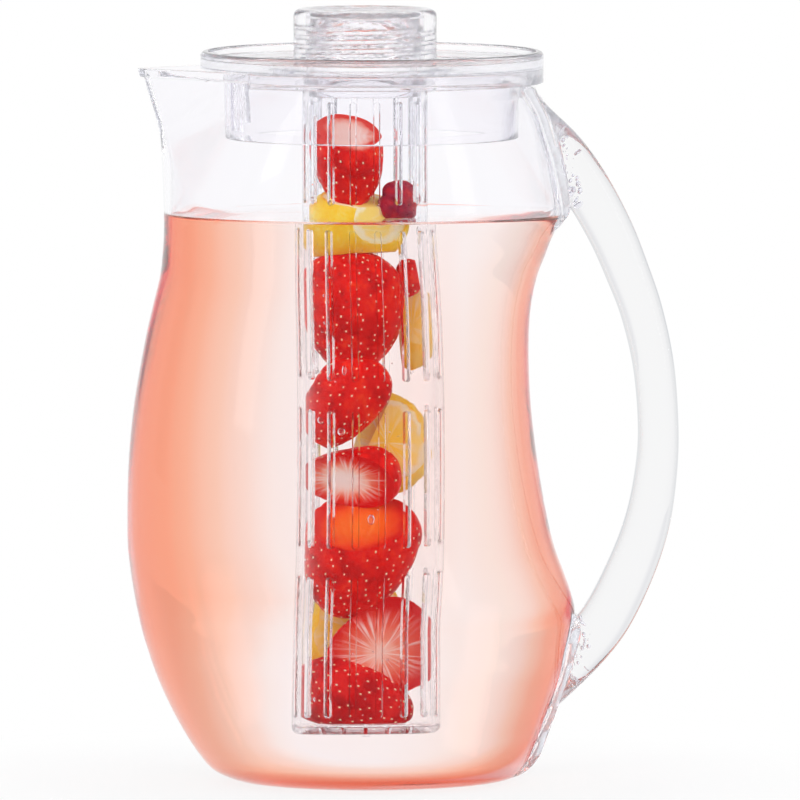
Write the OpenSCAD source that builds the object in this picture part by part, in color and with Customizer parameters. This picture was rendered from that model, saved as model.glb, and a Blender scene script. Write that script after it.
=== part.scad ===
// Fruit infuser pitcher: a clear jug with a bonded bow handle, a plug lid and a slotted
// infuser tube that hangs from a screw knob on the lid.
// +Z is up, +X points to the handle and -X to the spout. The origin is on the base, under
// the axis of the lid.

/* [Jug] */
// Height of the jug from its base to its rim
jug_h = 239; // [200:0.5:270]
// Reach of the belly from the lid's axis towards the spout
belly_reach = 81.8; // [72:0.1:92]
// Reach of the hip from the lid's axis towards the handle
hip_reach = 68; // [60:0.1:76]
// Half of the jug's greatest width across the handle
half_width = 69.2; // [62:0.1:78]
// Outer radius of the neck
neck_r = 51.4; // [49:0.1:56]
// Height of the straight band at the top of the neck
neck_band_h = 7.6; // [5:0.1:12]
// Wall thickness of the jug
jug_wall = 2.2; // [1.6:0.1:3]
// Thickness of the jug's floor
floor_t = 3; // [2:0.1:5]
// Height of the lip round the rim
lip_h = 2.8; // [2:0.1:3.6]
// How far the lip stands proud of the neck
lip_out = 1.5; // [0.8:0.1:2.2]

/* [Spout] */
// Reach of the spout's tip from the lid's axis, without the lip
spout_reach = 76.7; // [70:0.1:84]
// Rounding of the spout's tip, seen from above
spout_tip_r = 5; // [4:0.5:10]

/* [Handle pads] */
// Width of the pads that the handle is bonded to
pad_w = 23; // [20:0.5:30]
// Thickness of the upper pad
upper_pad_t = 2.9; // [2:0.1:5]
// Thickness of the lower pad
lower_pad_t = 2.9; // [2:0.1:4]

/* [Handle] */
// Reach of the handle's middle line from the lid's axis
handle_reach = 95.6; // [88:0.1:104]
// Thickness of the handle at its middle, measured outwards from the jug
handle_t = 13.7; // [10:0.1:15]
// Width of the handle across the hand
handle_w = 19; // [16:0.5:20]
// Depth that the bonded ends sink into the pads
bond_sink = 0.5; // [0.3:0.1:0.8]

/* [Lid] */
// Outer radius of the lid's flange
lid_r = 57.3; // [55.5:0.1:62]
// Height of the raised edge above the lid's plate
lid_edge_h = 2.6; // [1.5:0.1:4]
// Thickness of the raised edge and of the flange below it
flange_t = 2.1; // [1.4:0.1:2.2]
// How far the flange hangs below the rim
flange_drop = 4.7; // [3:0.1:5.5]
// Thickness of the lid's plate
plate_t = 3; // [2.4:0.1:4]
// Height of the skirt that plugs the neck
skirt_h = 23.4; // [18:0.1:30]
// Wall thickness of the skirt
skirt_t = 1.9; // [1.4:0.1:2.4]
// Number of strainer slots in the skirt, facing the spout
strainer_slots = 9; // [5:2:11]
// Width of a strainer slot
strainer_slot_w = 2.6; // [1.5:0.1:3.2]
// Angle between strainer slots
strainer_step = 6.5; // [6:0.1:7]

/* [Infuser tube] */
// Outer radius of the infuser tube
tube_r = 20.9; // [20.4:0.1:24]
// Wall thickness of the infuser tube
tube_wall = 2; // [1.4:0.1:2.6]
// Thickness of the tube's bottom
tube_bottom_t = 2.4; // [1.8:0.1:4]
// Height of the tube's bottom above the base of the jug
tube_z = 20.8; // [15.4:0.1:24]
// Slots round the tube
slots_round = 16; // [8:2:20]
// Width of a slot
slot_w = 2; // [1.2:0.1:2.6]

/* [Screw] */
// How far the screw's axis stands from the lid's axis, towards the spout
screw_shift = 2.3; // [0:0.1:4]
// Pitch of the thread
pitch = 3; // [2.4:0.1:4]
// Turns of thread
thread_turns = 3.2; // [2:0.1:3.4]
// Crest radius of the thread on the collar
thread_r = 19.6; // [18.4:0.1:19.7]
// Depth of the thread
thread_depth = 1.2; // [0.8:0.1:1.4]
// Gap between the threads of collar and knob, along the radius
thread_gap = 0.3; // [0.2:0.05:0.5]
// Bore radius of the collar
collar_bore_r = 16.4; // [13:0.1:16.8]
// Depth that the collar's spigot goes into the tube
spigot_h = 6; // [4:0.1:6.4]

/* [Knob] */
// Outer radius of the knob
knob_r = 23.9; // [22.5:0.1:28]
// Height of the knob above the lid's plate
knob_h = 16.5; // [15.5:0.1:22]
// Thickness of the knob's top
knob_top_t = 2.4; // [2:0.1:3.5]
// Rounding of the knob's top edge
knob_round = 2.4; // [1:0.1:3]

/* [Hidden] */
acrylic = [0.88, 0.93, 0.96, 0.5];

// Gap between pieces that rest on each other
seat_gap = 0.2;
// Gap round the skirt in the neck
skirt_gap = 0.5;
// Gap between the collar and the hole in the lid's plate
hole_gap = 0.4;
// Gap between the collar's spigot and the tube, filled by the bond
spigot_gap = 0.1;
// Overrun of every cut
cut = 1;
// Smallest edge rounding on moulded edges
edge_r = 0.5;
// Facets of a turned outline
$fn = 96;

function mix(a, b, t) = a + (b - a) * t;
function clamp(v, low, high) = max(low, min(high, v));
function smooth(t) = let (c = clamp(t, 0, 1)) c * c * (3 - 2 * c);

// Value at v of a smooth curve through the rows [v, value] of a table
function slope(t, i) =
    let (a = max(i - 1, 0), b = min(i + 1, len(t) - 1)) (t[b][1] - t[a][1]) / (t[b][0] - t[a][0]);
function row_below(t, v, i = 0) = i >= len(t) - 2 || t[i + 1][0] > v ? i : row_below(t, v, i + 1);
function curve(t, v) =
    let (i = row_below(t, v), d = t[i + 1][0] - t[i][0], u = clamp((v - t[i][0]) / d, 0, 1))
    t[i][1] * (1 + 2 * u) * pow(1 - u, 2) + t[i + 1][1] * u * u * (3 - 2 * u)
    + d * slope(t, i) * u * pow(1 - u, 2) + d * slope(t, i + 1) * u * u * (u - 1);

// Outline of the jug seen from the side, as shares of its height, of the belly's reach in
// front and of the hip's reach behind
side_shares = [
    [0, 0.42, 0.477], [0.0028, 0.518, 0.59], [0.0065, 0.571, 0.678], [0.0175, 0.645, 0.742],
    [0.038, 0.702, 0.791], [0.07, 0.765, 0.835], [0.11, 0.828, 0.887], [0.15, 0.88, 0.936],
    [0.19, 0.92, 0.967], [0.213, 0.94, 0.985], [0.235, 0.955, 0.998], [0.255, 0.967, 0.988],
    [0.29, 0.984, 0.948], [0.332, 0.998, 0.894], [0.38, 1, 0.855], [0.43, 0.997, 0.824],
    [0.48, 0.988, 0.799], [0.53, 0.972, 0.78], [0.58, 0.948, 0.771], [0.63, 0.92, 0.771],
    [0.67, 0.893, 0.782], [0.71, 0.865, 0.812], [0.74, 0.855, 0.852], [0.765, 0.85, 0.886],
    [0.785, 0.849, 0.922], [0.8, 0.849, 0.942]
];
// Half width of the jug across the handle, as shares of its height and of its greatest half
width_shares = [
    [0, 0.483], [0.0028, 0.585], [0.0065, 0.657], [0.0175, 0.725], [0.038, 0.787], [0.07, 0.845],
    [0.11, 0.9], [0.15, 0.944], [0.19, 0.972], [0.235, 0.993], [0.28, 1], [0.332, 0.997],
    [0.38, 0.985], [0.43, 0.967], [0.48, 0.945], [0.53, 0.92], [0.58, 0.894], [0.63, 0.867],
    [0.67, 0.845], [0.71, 0.822], [0.75, 0.8], [0.8, 0.775]
];
// The taper from the shoulder to the neck, as shares of its height and of its narrowing
taper_shares = [
    [0.2, 0.085], [0.38, 0.2], [0.52, 0.32], [0.66, 0.46], [0.79, 0.6], [0.92, 0.82], [1, 0.96]
];
shoulder = side_shares[len(side_shares) - 1];
shoulder_h = shoulder[0] * jug_h;
shoulder_width = width_shares[len(width_shares) - 1][1] * half_width;
neck_z = jug_h - neck_band_h;
band_shares = [0.7, 1];
function taper(from) = concat(
    [for (s = taper_shares) [mix(shoulder_h, neck_z, s[0]), mix(from, neck_r, s[1])]],
    [for (s = band_shares) [mix(neck_z, jug_h, s), neck_r]]);
front_table = concat(
    [for (s = side_shares) [s[0] * jug_h, s[1] * belly_reach]], taper(shoulder[1] * belly_reach));
back_table = concat(
    [for (s = side_shares) [s[0] * jug_h, s[2] * hip_reach]], taper(shoulder[2] * hip_reach));
width_table = concat(
    [for (s = width_shares) [s[0] * jug_h, s[1] * half_width]], taper(shoulder_width));

// The spout grows out of the round neck above the shoulder, towards its reach at the rim
spout_start = shoulder[1] * belly_reach;
spout_shares = [
    [0, 0], [0.28, 0.08], [0.49, 0.14], [0.6, 0.27], [0.7, 0.45], [0.84, 0.73], [0.93, 0.89], [1, 1]
];
spout_table = [for (s = spout_shares)
    [mix(shoulder_h, jug_h, s[0]), mix(spout_start, spout_reach, s[1])]];

// The handle's pads, as shares of the jug's height and of each pad's thickness
upper_pad_shares = [
    [0.778, 0], [0.792, 0.42], [0.81, 0.8], [0.83, 0.9], [0.86, 1], [0.93, 1], [0.972, 1], [0.979, 0]
];
lower_pad_shares = [
    [0.012, 0], [0.022, 0.4], [0.038, 0.66], [0.1, 0.66], [0.15, 0.7], [0.19, 0.95], [0.213, 0.95],
    [0.225, 0.6], [0.238, 0]
];
function pad_table(shares, t) = [for (s = shares) [s[0] * jug_h, s[1] * t]];
upper_pad = pad_table(upper_pad_shares, upper_pad_t);
lower_pad = pad_table(lower_pad_shares, lower_pad_t);
function in_table(t, z) = z > t[0][0] && z < t[len(t) - 1][0];
function pad_at(z) = in_table(upper_pad, z) ? max(curve(upper_pad, z), 0)
    : in_table(lower_pad, z) ? max(curve(lower_pad, z), 0) : 0;
// Width of the pads' sloping edges
pad_edge = 1.6;

// Distance from a section's centre to its edge, at an angle from the handle's side
function spout_edge(a, r, reach, tip_r) =
    let (d = reach - tip_r, half = acos(clamp((r - tip_r) / d, -1, 1)), b = abs(180 - a),
         tip = atan2(tip_r * sin(half), d + tip_r * cos(half)))
    reach <= r || b >= half ? r : b > tip ? r / cos(half - b)
    : d * cos(b) + sqrt(max(pow(tip_r, 2) - pow(d * sin(b), 2), 0));
// Angle past which no pad reaches
pad_angle = 40;
function pad_reach(a, r, t, squash) =
    let (x = (r + t) / cos(a), y = abs(x * sin(a)) * squash,
         hold = smooth((pad_w / 2 + pad_edge - y) / (2 * pad_edge)))
    t <= 0 || abs(a) > pad_angle ? r : mix(r, x, hold);
// Share of the tip's rounding that an inset may take away
tip_share = 0.6;
// How fast the round neck turns into the spout
spout_rate = 1.6;
function section(z, angles, inset, pads) =
    let (front = curve(front_table, z), back = curve(back_table, z), mid = (back - front) / 2,
         half_x = (front + back) / 2 - inset, squash = (curve(width_table, z) - inset) / half_x,
         up = clamp((z - shoulder_h) / (jug_h - shoulder_h), 0, 1),
         reach = up > 0 ? curve(spout_table, z) + mid - inset : half_x,
         near_r = spout_tip_r - min(inset, tip_share * spout_tip_r),
         tip_r = mix(half_x, near_r, smooth(spout_rate * up)),
         pad = pads ? pad_at(z) : 0)
    [for (a = angles)
        let (r = a < 90 || a > 270 ? pad_reach(a > 180 ? a - 360 : a, half_x, pad, squash)
                 : spout_edge(a, half_x, reach, tip_r))
        [mid + r * cos(a), squash * r * sin(a), z]];

// Angles of a section's points: close together at the pads and at the spout's tip
half_angles = concat(
    [for (a = [2.25:2.25:15.75]) a], [for (a = [21:6:153]) a], [159, 165, 170, 174, 176.5, 178.5]);
jug_angles = concat(
    [0], half_angles, [180], [for (i = [len(half_angles) - 1:-1:0]) 360 - half_angles[i]]);

// Heights of the jug's rings outside and inside, as shares of its height
outer_shares = [
    0, 0.0028, 0.0065, 0.0175, 0.025, 0.038, 0.07, 0.11, 0.15, 0.19, 0.213, 0.225, 0.238, 0.255, 0.29,
    0.332, 0.38, 0.43, 0.48, 0.53, 0.58, 0.63, 0.67, 0.71, 0.74, 0.76, 0.778, 0.792, 0.81, 0.83, 0.855,
    0.88, 0.905, 0.93, 0.952, 0.972, 0.979
];
inner_shares = [
    0.0028, 0.0065, 0.0175, 0.038, 0.07, 0.11, 0.15, 0.19, 0.225, 0.255, 0.29, 0.332, 0.38, 0.43, 0.48,
    0.53, 0.58, 0.63, 0.67, 0.71, 0.745, 0.77, 0.785, 0.8, 0.82, 0.85, 0.88, 0.905, 0.93, 0.96
];
function jug_ring(z, inset, pads = false) = section(z, jug_angles, inset, pads);
function lifted(z) = floor_t + z * (1 - floor_t / jug_h);

// Raised boss in the middle of the jug's floor, where the plastic was fed in
boss_h = 2.4;
boss_r = 6.2;
boss_foot_r = 14;
boss_x = (curve(back_table, 0) - curve(front_table, 0)) / 2;
function boss_ring(r, z) = [for (a = jug_angles) [boss_x + r * cos(a), r * sin(a), z]];

jug_rings = concat(
    [for (s = outer_shares) jug_ring(s * jug_h, 0, true)],
    [jug_ring(jug_h - lip_h - edge_r, 0), jug_ring(jug_h - lip_h, -lip_out + edge_r),
     jug_ring(jug_h - lip_h + edge_r, -lip_out), jug_ring(jug_h - edge_r, -lip_out),
     jug_ring(jug_h, -lip_out + edge_r), jug_ring(jug_h, jug_wall - edge_r)],
    [for (i = [len(inner_shares) - 1:-1:0])
        [for (p = jug_ring(inner_shares[i] * jug_h, jug_wall)) [p[0], p[1], lifted(p[2])]]],
    [boss_ring(boss_foot_r, floor_t), boss_ring(boss_r, floor_t + boss_h - edge_r),
     boss_ring(boss_r - edge_r, floor_t + boss_h)]);

// A closed skin over rings of n points each, with a fan over the first and the last
module skin(rings) {
    n = len(rings[0]);
    last = len(rings) - 1;
    sides = [for (i = [0:last - 1], k = [0:n - 1])
        let (a = i * n + k, b = i * n + (k + 1) % n) each [[a, b, b + n], [a, b + n, a + n]]];
    low_fan = [for (k = [1:n - 2]) [0, k + 1, k]];
    high_fan = [for (k = [1:n - 2]) [last * n, last * n + k, last * n + k + 1]];
    faces = concat(sides, low_fan, high_fan);
    polyhedron([for (r = rings) each r], [for (f = faces) [f[0], f[2], f[1]]]);
}

module pitcher_body() {
    color(acrylic) skin(jug_rings);
}

// The handle's middle line, as shares of its reach, of the jug's height and of the handle's
// thickness at its middle
bow_shares = [
    [0.49, 0.949, 1.215], [0.568, 0.917, 1.215], [0.664, 0.879, 1.215], [0.749, 0.832, 1.19],
    [0.832, 0.772, 1.136], [0.889, 0.718, 1.085], [0.942, 0.659, 1.04], [0.984, 0.582, 1.01],
    [1, 0.492, 1], [0.988, 0.423, 1.05], [0.957, 0.359, 1.12], [0.9, 0.296, 1.18],
    [0.818, 0.231, 1.21], [0.726, 0.185, 1.21], [0.603, 0.138, 1.22], [0.5, 0.1, 1.22]
];
bow_end = len(bow_shares) - 1;
bow_x = [for (i = [0:bow_end]) [i, bow_shares[i][0] * handle_reach]];
bow_z = [for (i = [0:bow_end]) [i, bow_shares[i][1] * jug_h]];
bow_t = [for (i = [0:bow_end]) [i, bow_shares[i][2]]];
// Small step along the bow for its direction
step_u = 0.01;
function bow_at(u) = [curve(bow_x, u), curve(bow_z, u)];
// Point of the bow at u, moved out along the normal by t of the middle's thickness
function bow_point(u, t) =
    let (p = bow_at(u), q = bow_at(min(u + step_u, bow_end)), o = bow_at(max(u - step_u, 0)),
         d = (q - o) / norm(q - o), n = t * curve(bow_t, u))
    [p[0] - d[1] * n, p[1] + d[0] * n];
// How far a point lies outside the pad's face
function outside(p) = p[0] - (curve(back_table, p[1]) + pad_at(p[1]) - bond_sink);
// Place on the bow where a line at offset t leaves the pad
function leaves(t, low, high, n = 22) =
    let (m = (low + high) / 2)
    n == 0 ? m
    : outside(bow_point(m, t)) > 0 ? leaves(t, low, m, n - 1) : leaves(t, m, high, n - 1);

// Outline of the handle's section: a rounded oblong, as [outward offset, sideways offset]
oblong_power = 0.62;
handle_points = 28;
function rounded(v) = sign(v) * pow(abs(v), oblong_power);
handle_section = [for (k = [0:handle_points - 1])
    let (a = 360 * k / handle_points + 180 / handle_points)
    [handle_t / 2 * rounded(cos(a)), handle_w / 2 * rounded(sin(a))]];
handle_rings = 44;
handle_mid_u = bow_end / 2;
starts = [for (s = handle_section) leaves(s[0], 0, handle_mid_u)];
ends = [for (s = handle_section) leaves(s[0], bow_end, handle_mid_u)];

module handle() {
    n = handle_points;
    rings = [for (i = [0:handle_rings]) [for (k = [0:n - 1])
        let (s = handle_section[k], p = bow_point(mix(starts[k], ends[k], i / handle_rings), s[0]))
        [p[0], s[1], p[1]]]];
    sides = [for (i = [0:handle_rings - 1], k = [0:n - 1])
        let (a = i * n + k, b = i * n + (k + 1) % n) each [[a, b, b + n], [a, b + n, a + n]]];
    // Points k and n - 1 - k of a ring face each other across the handle
    first = [for (k = [0:n / 2 - 2])
        let (m = n - 1 - k) each [[k, m, k + 1], [k + 1, m, m - 1]]];
    top = handle_rings * n;
    last = [for (f = first) [f[0] + top, f[2] + top, f[1] + top]];
    color(acrylic) polyhedron([for (r = rings) each r], concat(sides, first, last));
}

// Arc of points round c from angle a to b
function arc(c, r, a, b, n = 6) =
    [for (i = [0:n]) let (t = mix(a, b, i / n)) c + r * [cos(t), sin(t)]];

// Levels of the lid
plate_z = jug_h + seat_gap;
plate_top = plate_z + plate_t;
lid_top = plate_top + lid_edge_h;
flange_z = jug_h - flange_drop;
skirt_r = neck_r - jug_wall - skirt_gap;
hole_r = thread_r + hole_gap;
// Rounding of the lid's top outer edge
lid_round = 1.6;
// Half the angle of the gap in the flange that clears the spout
spout_gap_angle = 44;
flange_in_r = lid_r - flange_t;
skirt_in_r = skirt_r - skirt_t;
skirt_z = plate_z - skirt_h;
// Plain bands of the skirt above and below the strainer slots
strainer_band_h = 3.2;

// Everything on the screw's axis stands off the lid's axis
module on_screw() {
    translate([-screw_shift, 0, 0]) children();
}

module lid() {
    gap_h = plate_z - flange_z + cut;
    far = 2 * lid_r;
    color(acrylic) difference() {
        rotate_extrude() polygon(concat(
            [[0, plate_z], [skirt_in_r, plate_z], [skirt_in_r, skirt_z], [skirt_r - edge_r, skirt_z],
             [skirt_r, skirt_z + edge_r], [skirt_r, plate_z], [flange_in_r, plate_z],
             [flange_in_r, flange_z], [lid_r - edge_r, flange_z], [lid_r, flange_z + edge_r]],
            arc([lid_r - lid_round, lid_top - lid_round], lid_round, 0, 90),
            [[flange_in_r, lid_top], [flange_in_r - edge_r, lid_top - edge_r],
             [flange_in_r - edge_r, plate_top], [0, plate_top]]));
        on_screw() translate([0, 0, plate_z - cut]) cylinder(r = hole_r, h = plate_t + 2 * cut);
        // The flange stops short of the spout, so that the lid sits flat
        translate([0, 0, flange_z - cut]) difference() {
            linear_extrude(gap_h) polygon([
                [0, 0], far * [-cos(spout_gap_angle), sin(spout_gap_angle)],
                far * [-1, sin(spout_gap_angle)], far * [-1, -sin(spout_gap_angle)],
                far * [-cos(spout_gap_angle), -sin(spout_gap_angle)]]);
            translate([0, 0, -cut]) cylinder(r = skirt_r + skirt_gap, h = gap_h + 2 * cut);
        }
        for (i = [0:strainer_slots - 1])
            rotate(180 + strainer_step * (i - (strainer_slots - 1) / 2))
                translate([skirt_in_r - cut, -strainer_slot_w / 2, skirt_z + strainer_band_h])
                    cube([skirt_t + 2 * cut, strainer_slot_w, skirt_h - 2 * strainer_band_h]);
    }
}

// Thread shape, as shares of the pitch: half widths of a ridge at its root and at its crest
root_half = 0.27 * pitch;
crest_half = 0.15 * pitch;
// Steps of a ridge in one turn, and steps over which its ends fade in
turn_steps = 36;
fade_steps = 5;
// Share of the ridge's height left at its very ends
fade_share = 0.1;

// One turned ridge of a thread between a root and a crest radius
module ridge(root_r, crest_r, z, start) {
    steps = ceil(thread_turns * turn_steps);
    rings = [for (i = [0:steps])
        let (turned = 360 * thread_turns * i / steps, a = start + turned,
             mid = z + pitch * turned / 360, grown = min(i, steps - i) / fade_steps,
             tip = mix(root_r, crest_r, clamp(grown, fade_share, 1)))
        [for (q = [[root_r, mid - root_half], [tip, mid - crest_half],
                   [tip, mid + crest_half], [root_r, mid + root_half]])
            [q[0] * cos(a), q[0] * sin(a), q[1]]]];
    top = steps * 4;
    sides = [for (i = [0:steps - 1], k = [0:3])
        let (a = i * 4 + k, b = i * 4 + (k + 1) % 4) each [[a, b, b + 4], [a, b + 4, a + 4]]];
    ends = [[0, 2, 1], [0, 3, 2], [top, top + 1, top + 2], [top, top + 2, top + 3]];
    outward = crest_r > root_r;
    polyhedron([for (r = rings) each r],
        [for (f = concat(sides, ends)) outward ? f : [f[0], f[2], f[1]]]);
}

// How deep a ridge's root is set into the wall that carries it
root_set = 0.3;
knob_z = plate_top + seat_gap;
knob_top = knob_z + knob_h;
knob_bore_r = thread_r + thread_gap;
collar_root_r = thread_r - thread_depth;
thread_z = knob_z + root_half + edge_r;
knob_inside_top = knob_top - knob_top_t;
collar_top = knob_inside_top - seat_gap;
// Shallow dish in the knob's top: its depth, and the radius of its floor
dish_depth = 1;
dish_floor_r = 11.7;
// Angle at which the collar's ridge starts. Half a turn on from it, the knob's ridge runs
// midway between the turns of the collar's ridge
thread_start = 7;
half_turn = 180;

module knob() {
    dish_r = knob_r - knob_round - edge_r;
    color(acrylic) on_screw() union() {
        rotate_extrude() polygon(concat(
            [[knob_bore_r, knob_z], [knob_r - edge_r, knob_z], [knob_r, knob_z + edge_r]],
            arc([knob_r - knob_round, knob_top - knob_round], knob_round, 0, 90),
            [[dish_r, knob_top], [dish_floor_r, knob_top - dish_depth],
             [0, knob_top - dish_depth], [0, knob_inside_top], [knob_bore_r, knob_inside_top]]));
        ridge(knob_bore_r + root_set, knob_bore_r - thread_depth, thread_z,
            thread_start + half_turn);
    }
}

// Height of the collar's flange, which clamps the lid's plate against the knob
collar_flange_h = 3;
clamp_z = plate_z - seat_gap;
tube_top = clamp_z - collar_flange_h;
tube_in_r = tube_r - tube_wall;
module infuser_collar() {
    spigot_r = tube_in_r - spigot_gap;
    spigot_z = tube_top - spigot_h;
    color(acrylic) on_screw() union() {
        rotate_extrude() polygon([
            [collar_bore_r, spigot_z], [spigot_r - edge_r, spigot_z], [spigot_r, spigot_z + edge_r],
            [spigot_r, tube_top], [tube_r, tube_top], [tube_r, clamp_z], [collar_root_r, clamp_z],
            [collar_root_r, collar_top - edge_r], [collar_root_r - edge_r, collar_top],
            [collar_bore_r, collar_top]]);
        ridge(collar_root_r - root_set, thread_r, thread_z, thread_start);
    }
}

// Lower and upper end of each tier of slots, as shares of the tube's height
tier_shares = [[0.0255, 0.2305], [0.272, 0.4845], [0.53, 0.765], [0.8058, 0.9665]];
tube_h = tube_top - tube_z;
tiers = [for (s = tier_shares) [tube_z + s[0] * tube_h, (s[1] - s[0]) * tube_h]];
// Rounding of the tube's foot, and of the corner inside it
foot_round = 2.6;
foot_fillet = 1.3;
// Small point under the foot, where the plastic was fed in
nub_r = 1.1;
nub_h = 0.9;
// Drain cuts in the tube's bottom: length and width
drain_l = 5;
drain_w = 1;

// Flat outline of a slot with round ends, standing on the origin
function slot_outline(w, h) =
    concat(arc([0, h - w / 2], w / 2, 0, 180), arc([0, w / 2], w / 2, 180, 360));

module infuser_tube() {
    floor_z = tube_z + tube_bottom_t;
    half_slots = slots_round / 2;
    color(acrylic) on_screw() difference() {
        rotate_extrude() polygon(concat(
            [[0, tube_z - nub_h], [nub_r, tube_z - nub_h], [nub_r, tube_z]],
            arc([tube_r - foot_round, tube_z + foot_round], foot_round, -90, 0),
            [[tube_r, tube_top], [tube_in_r, tube_top], [tube_in_r, floor_z + foot_fillet],
             [tube_in_r - foot_fillet, floor_z], [0, floor_z]]));
        // Each cut passes right through, so it makes two slots that face each other
        for (t = tiers, i = [0:half_slots - 1])
            rotate([90, 0, 180 * (i + 0.5) / half_slots]) translate([0, t[0], -tube_r - cut])
                linear_extrude(2 * (tube_r + cut)) polygon(slot_outline(slot_w, t[1]));
        for (i = [0:slots_round - 1])
            rotate(360 * i / slots_round)
                translate([tube_in_r - foot_fillet - drain_l, -drain_w / 2, tube_z - cut])
                    cube([drain_l, drain_w, tube_bottom_t + 2 * cut]);
    }
}

pitcher_body();
handle();
lid();
knob();
infuser_tube();
infuser_collar();
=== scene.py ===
import math
import random

import bmesh
import bpy
from mathutils import Matrix, Vector
from mathutils.kdtree import KDTree


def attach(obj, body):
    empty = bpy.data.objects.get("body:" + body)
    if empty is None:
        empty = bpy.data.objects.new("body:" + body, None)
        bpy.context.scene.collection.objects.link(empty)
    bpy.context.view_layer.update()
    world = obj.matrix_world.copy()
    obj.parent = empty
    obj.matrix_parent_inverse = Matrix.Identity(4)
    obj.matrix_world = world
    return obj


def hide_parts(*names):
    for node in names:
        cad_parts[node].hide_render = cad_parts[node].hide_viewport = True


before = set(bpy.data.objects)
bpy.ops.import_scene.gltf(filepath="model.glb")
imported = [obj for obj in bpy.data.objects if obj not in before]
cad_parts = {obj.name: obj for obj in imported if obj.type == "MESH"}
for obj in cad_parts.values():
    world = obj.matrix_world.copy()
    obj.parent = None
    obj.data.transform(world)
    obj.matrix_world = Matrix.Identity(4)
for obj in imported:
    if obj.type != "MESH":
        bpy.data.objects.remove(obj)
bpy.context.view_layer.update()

mm = 0.001

# The jug: one injection-moulded shell of clear acrylic with its spout, its rim and the two
# pads that the handle is bonded to. It is drawn as rings from the middle of the base, up the
# outside, over the rim and down the inside to the gate boss on the floor.

jug_h = 239 * mm
belly_reach = 81.8 * mm
hip_reach = 68 * mm
half_width = 69.2 * mm
neck_r = 51.4 * mm
neck_band_h = 7.6 * mm
jug_wall = 2.2 * mm
floor_t = 3 * mm
lip_h = 2.8 * mm
lip_out = 1.5 * mm
spout_reach = 76.7 * mm
spout_tip_r = 5 * mm
pad_w = 23 * mm
pad_edge = 1.6 * mm
upper_pad_t = 2.9 * mm
lower_pad_t = 2.9 * mm
edge_r = 0.5 * mm
boss_h = 2.4 * mm
boss_r = 6.2 * mm
boss_foot_r = 14 * mm

# Height, reach to the front and reach to the back, as shares of the jug's own
side_shares = [
    (0, 0.42, 0.477), (0.0028, 0.518, 0.59), (0.0065, 0.571, 0.678), (0.0175, 0.645, 0.742),
    (0.038, 0.702, 0.791), (0.07, 0.765, 0.835), (0.11, 0.828, 0.887), (0.15, 0.88, 0.936),
    (0.19, 0.92, 0.967), (0.213, 0.94, 0.985), (0.235, 0.955, 0.998), (0.255, 0.967, 0.988),
    (0.29, 0.984, 0.948), (0.332, 0.998, 0.894), (0.38, 1, 0.855), (0.43, 0.997, 0.824),
    (0.48, 0.988, 0.799), (0.53, 0.972, 0.78), (0.58, 0.948, 0.771), (0.63, 0.92, 0.771),
    (0.67, 0.893, 0.782), (0.71, 0.865, 0.812), (0.74, 0.855, 0.852), (0.765, 0.85, 0.886),
    (0.785, 0.849, 0.922), (0.8, 0.849, 0.942),
]
width_shares = [
    (0, 0.483), (0.0028, 0.585), (0.0065, 0.657), (0.0175, 0.725), (0.038, 0.787), (0.07, 0.845),
    (0.11, 0.9), (0.15, 0.944), (0.19, 0.972), (0.235, 0.993), (0.28, 1), (0.332, 0.997),
    (0.38, 0.985), (0.43, 0.967), (0.48, 0.945), (0.53, 0.92), (0.58, 0.894), (0.63, 0.867),
    (0.67, 0.845), (0.71, 0.822), (0.75, 0.8), (0.8, 0.775),
]
taper_shares = [
    (0.2, 0.085), (0.38, 0.2), (0.52, 0.32), (0.66, 0.46), (0.79, 0.6), (0.92, 0.82), (1, 0.96),
]
band_shares = [0.7, 1]
spout_shares = [
    (0, 0), (0.28, 0.08), (0.49, 0.14), (0.6, 0.27), (0.7, 0.45), (0.84, 0.73), (0.93, 0.89), (1, 1),
]
upper_pad_shares = [
    (0.778, 0), (0.792, 0.42), (0.81, 0.8), (0.83, 0.9), (0.86, 1), (0.93, 1), (0.972, 1), (0.979, 0),
]
lower_pad_shares = [
    (0.012, 0), (0.022, 0.4), (0.038, 0.66), (0.1, 0.66), (0.15, 0.7), (0.19, 0.95), (0.213, 0.95),
    (0.225, 0.6), (0.238, 0),
]


def mix(a, b, t):
    return a + (b - a) * t


def clamp(v, low=0.0, high=1.0):
    return max(low, min(high, v))


def smooth(t):
    c = clamp(t)
    return c * c * (3 - 2 * c)


def curve(rows, v):
    """Value at v of a smooth curve through (place, value) rows."""
    i = min(len(rows) - 2, sum(row[0] <= v for row in rows[1:]))

    def slope(k):
        a, b = rows[max(k - 1, 0)], rows[min(k + 1, len(rows) - 1)]
        return (b[1] - a[1]) / (b[0] - a[0])

    d = rows[i + 1][0] - rows[i][0]
    u = clamp((v - rows[i][0]) / d)
    return (rows[i][1] * (1 + 2 * u) * (1 - u) ** 2 + rows[i + 1][1] * u * u * (3 - 2 * u)
            + d * slope(i) * u * (1 - u) ** 2 + d * slope(i + 1) * u * u * (u - 1))


shoulder_h = side_shares[-1][0] * jug_h
neck_z = jug_h - neck_band_h


def side_rows(shares, reach):
    """Rows of an outline: shares of a reach up to the shoulder, then the taper to the neck."""
    last = shares[-1][1] * reach
    return ([(s[0] * jug_h, s[1] * reach) for s in shares]
            + [(mix(shoulder_h, neck_z, s[0]), mix(last, neck_r, s[1])) for s in taper_shares]
            + [(mix(neck_z, jug_h, s), neck_r) for s in band_shares])


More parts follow.
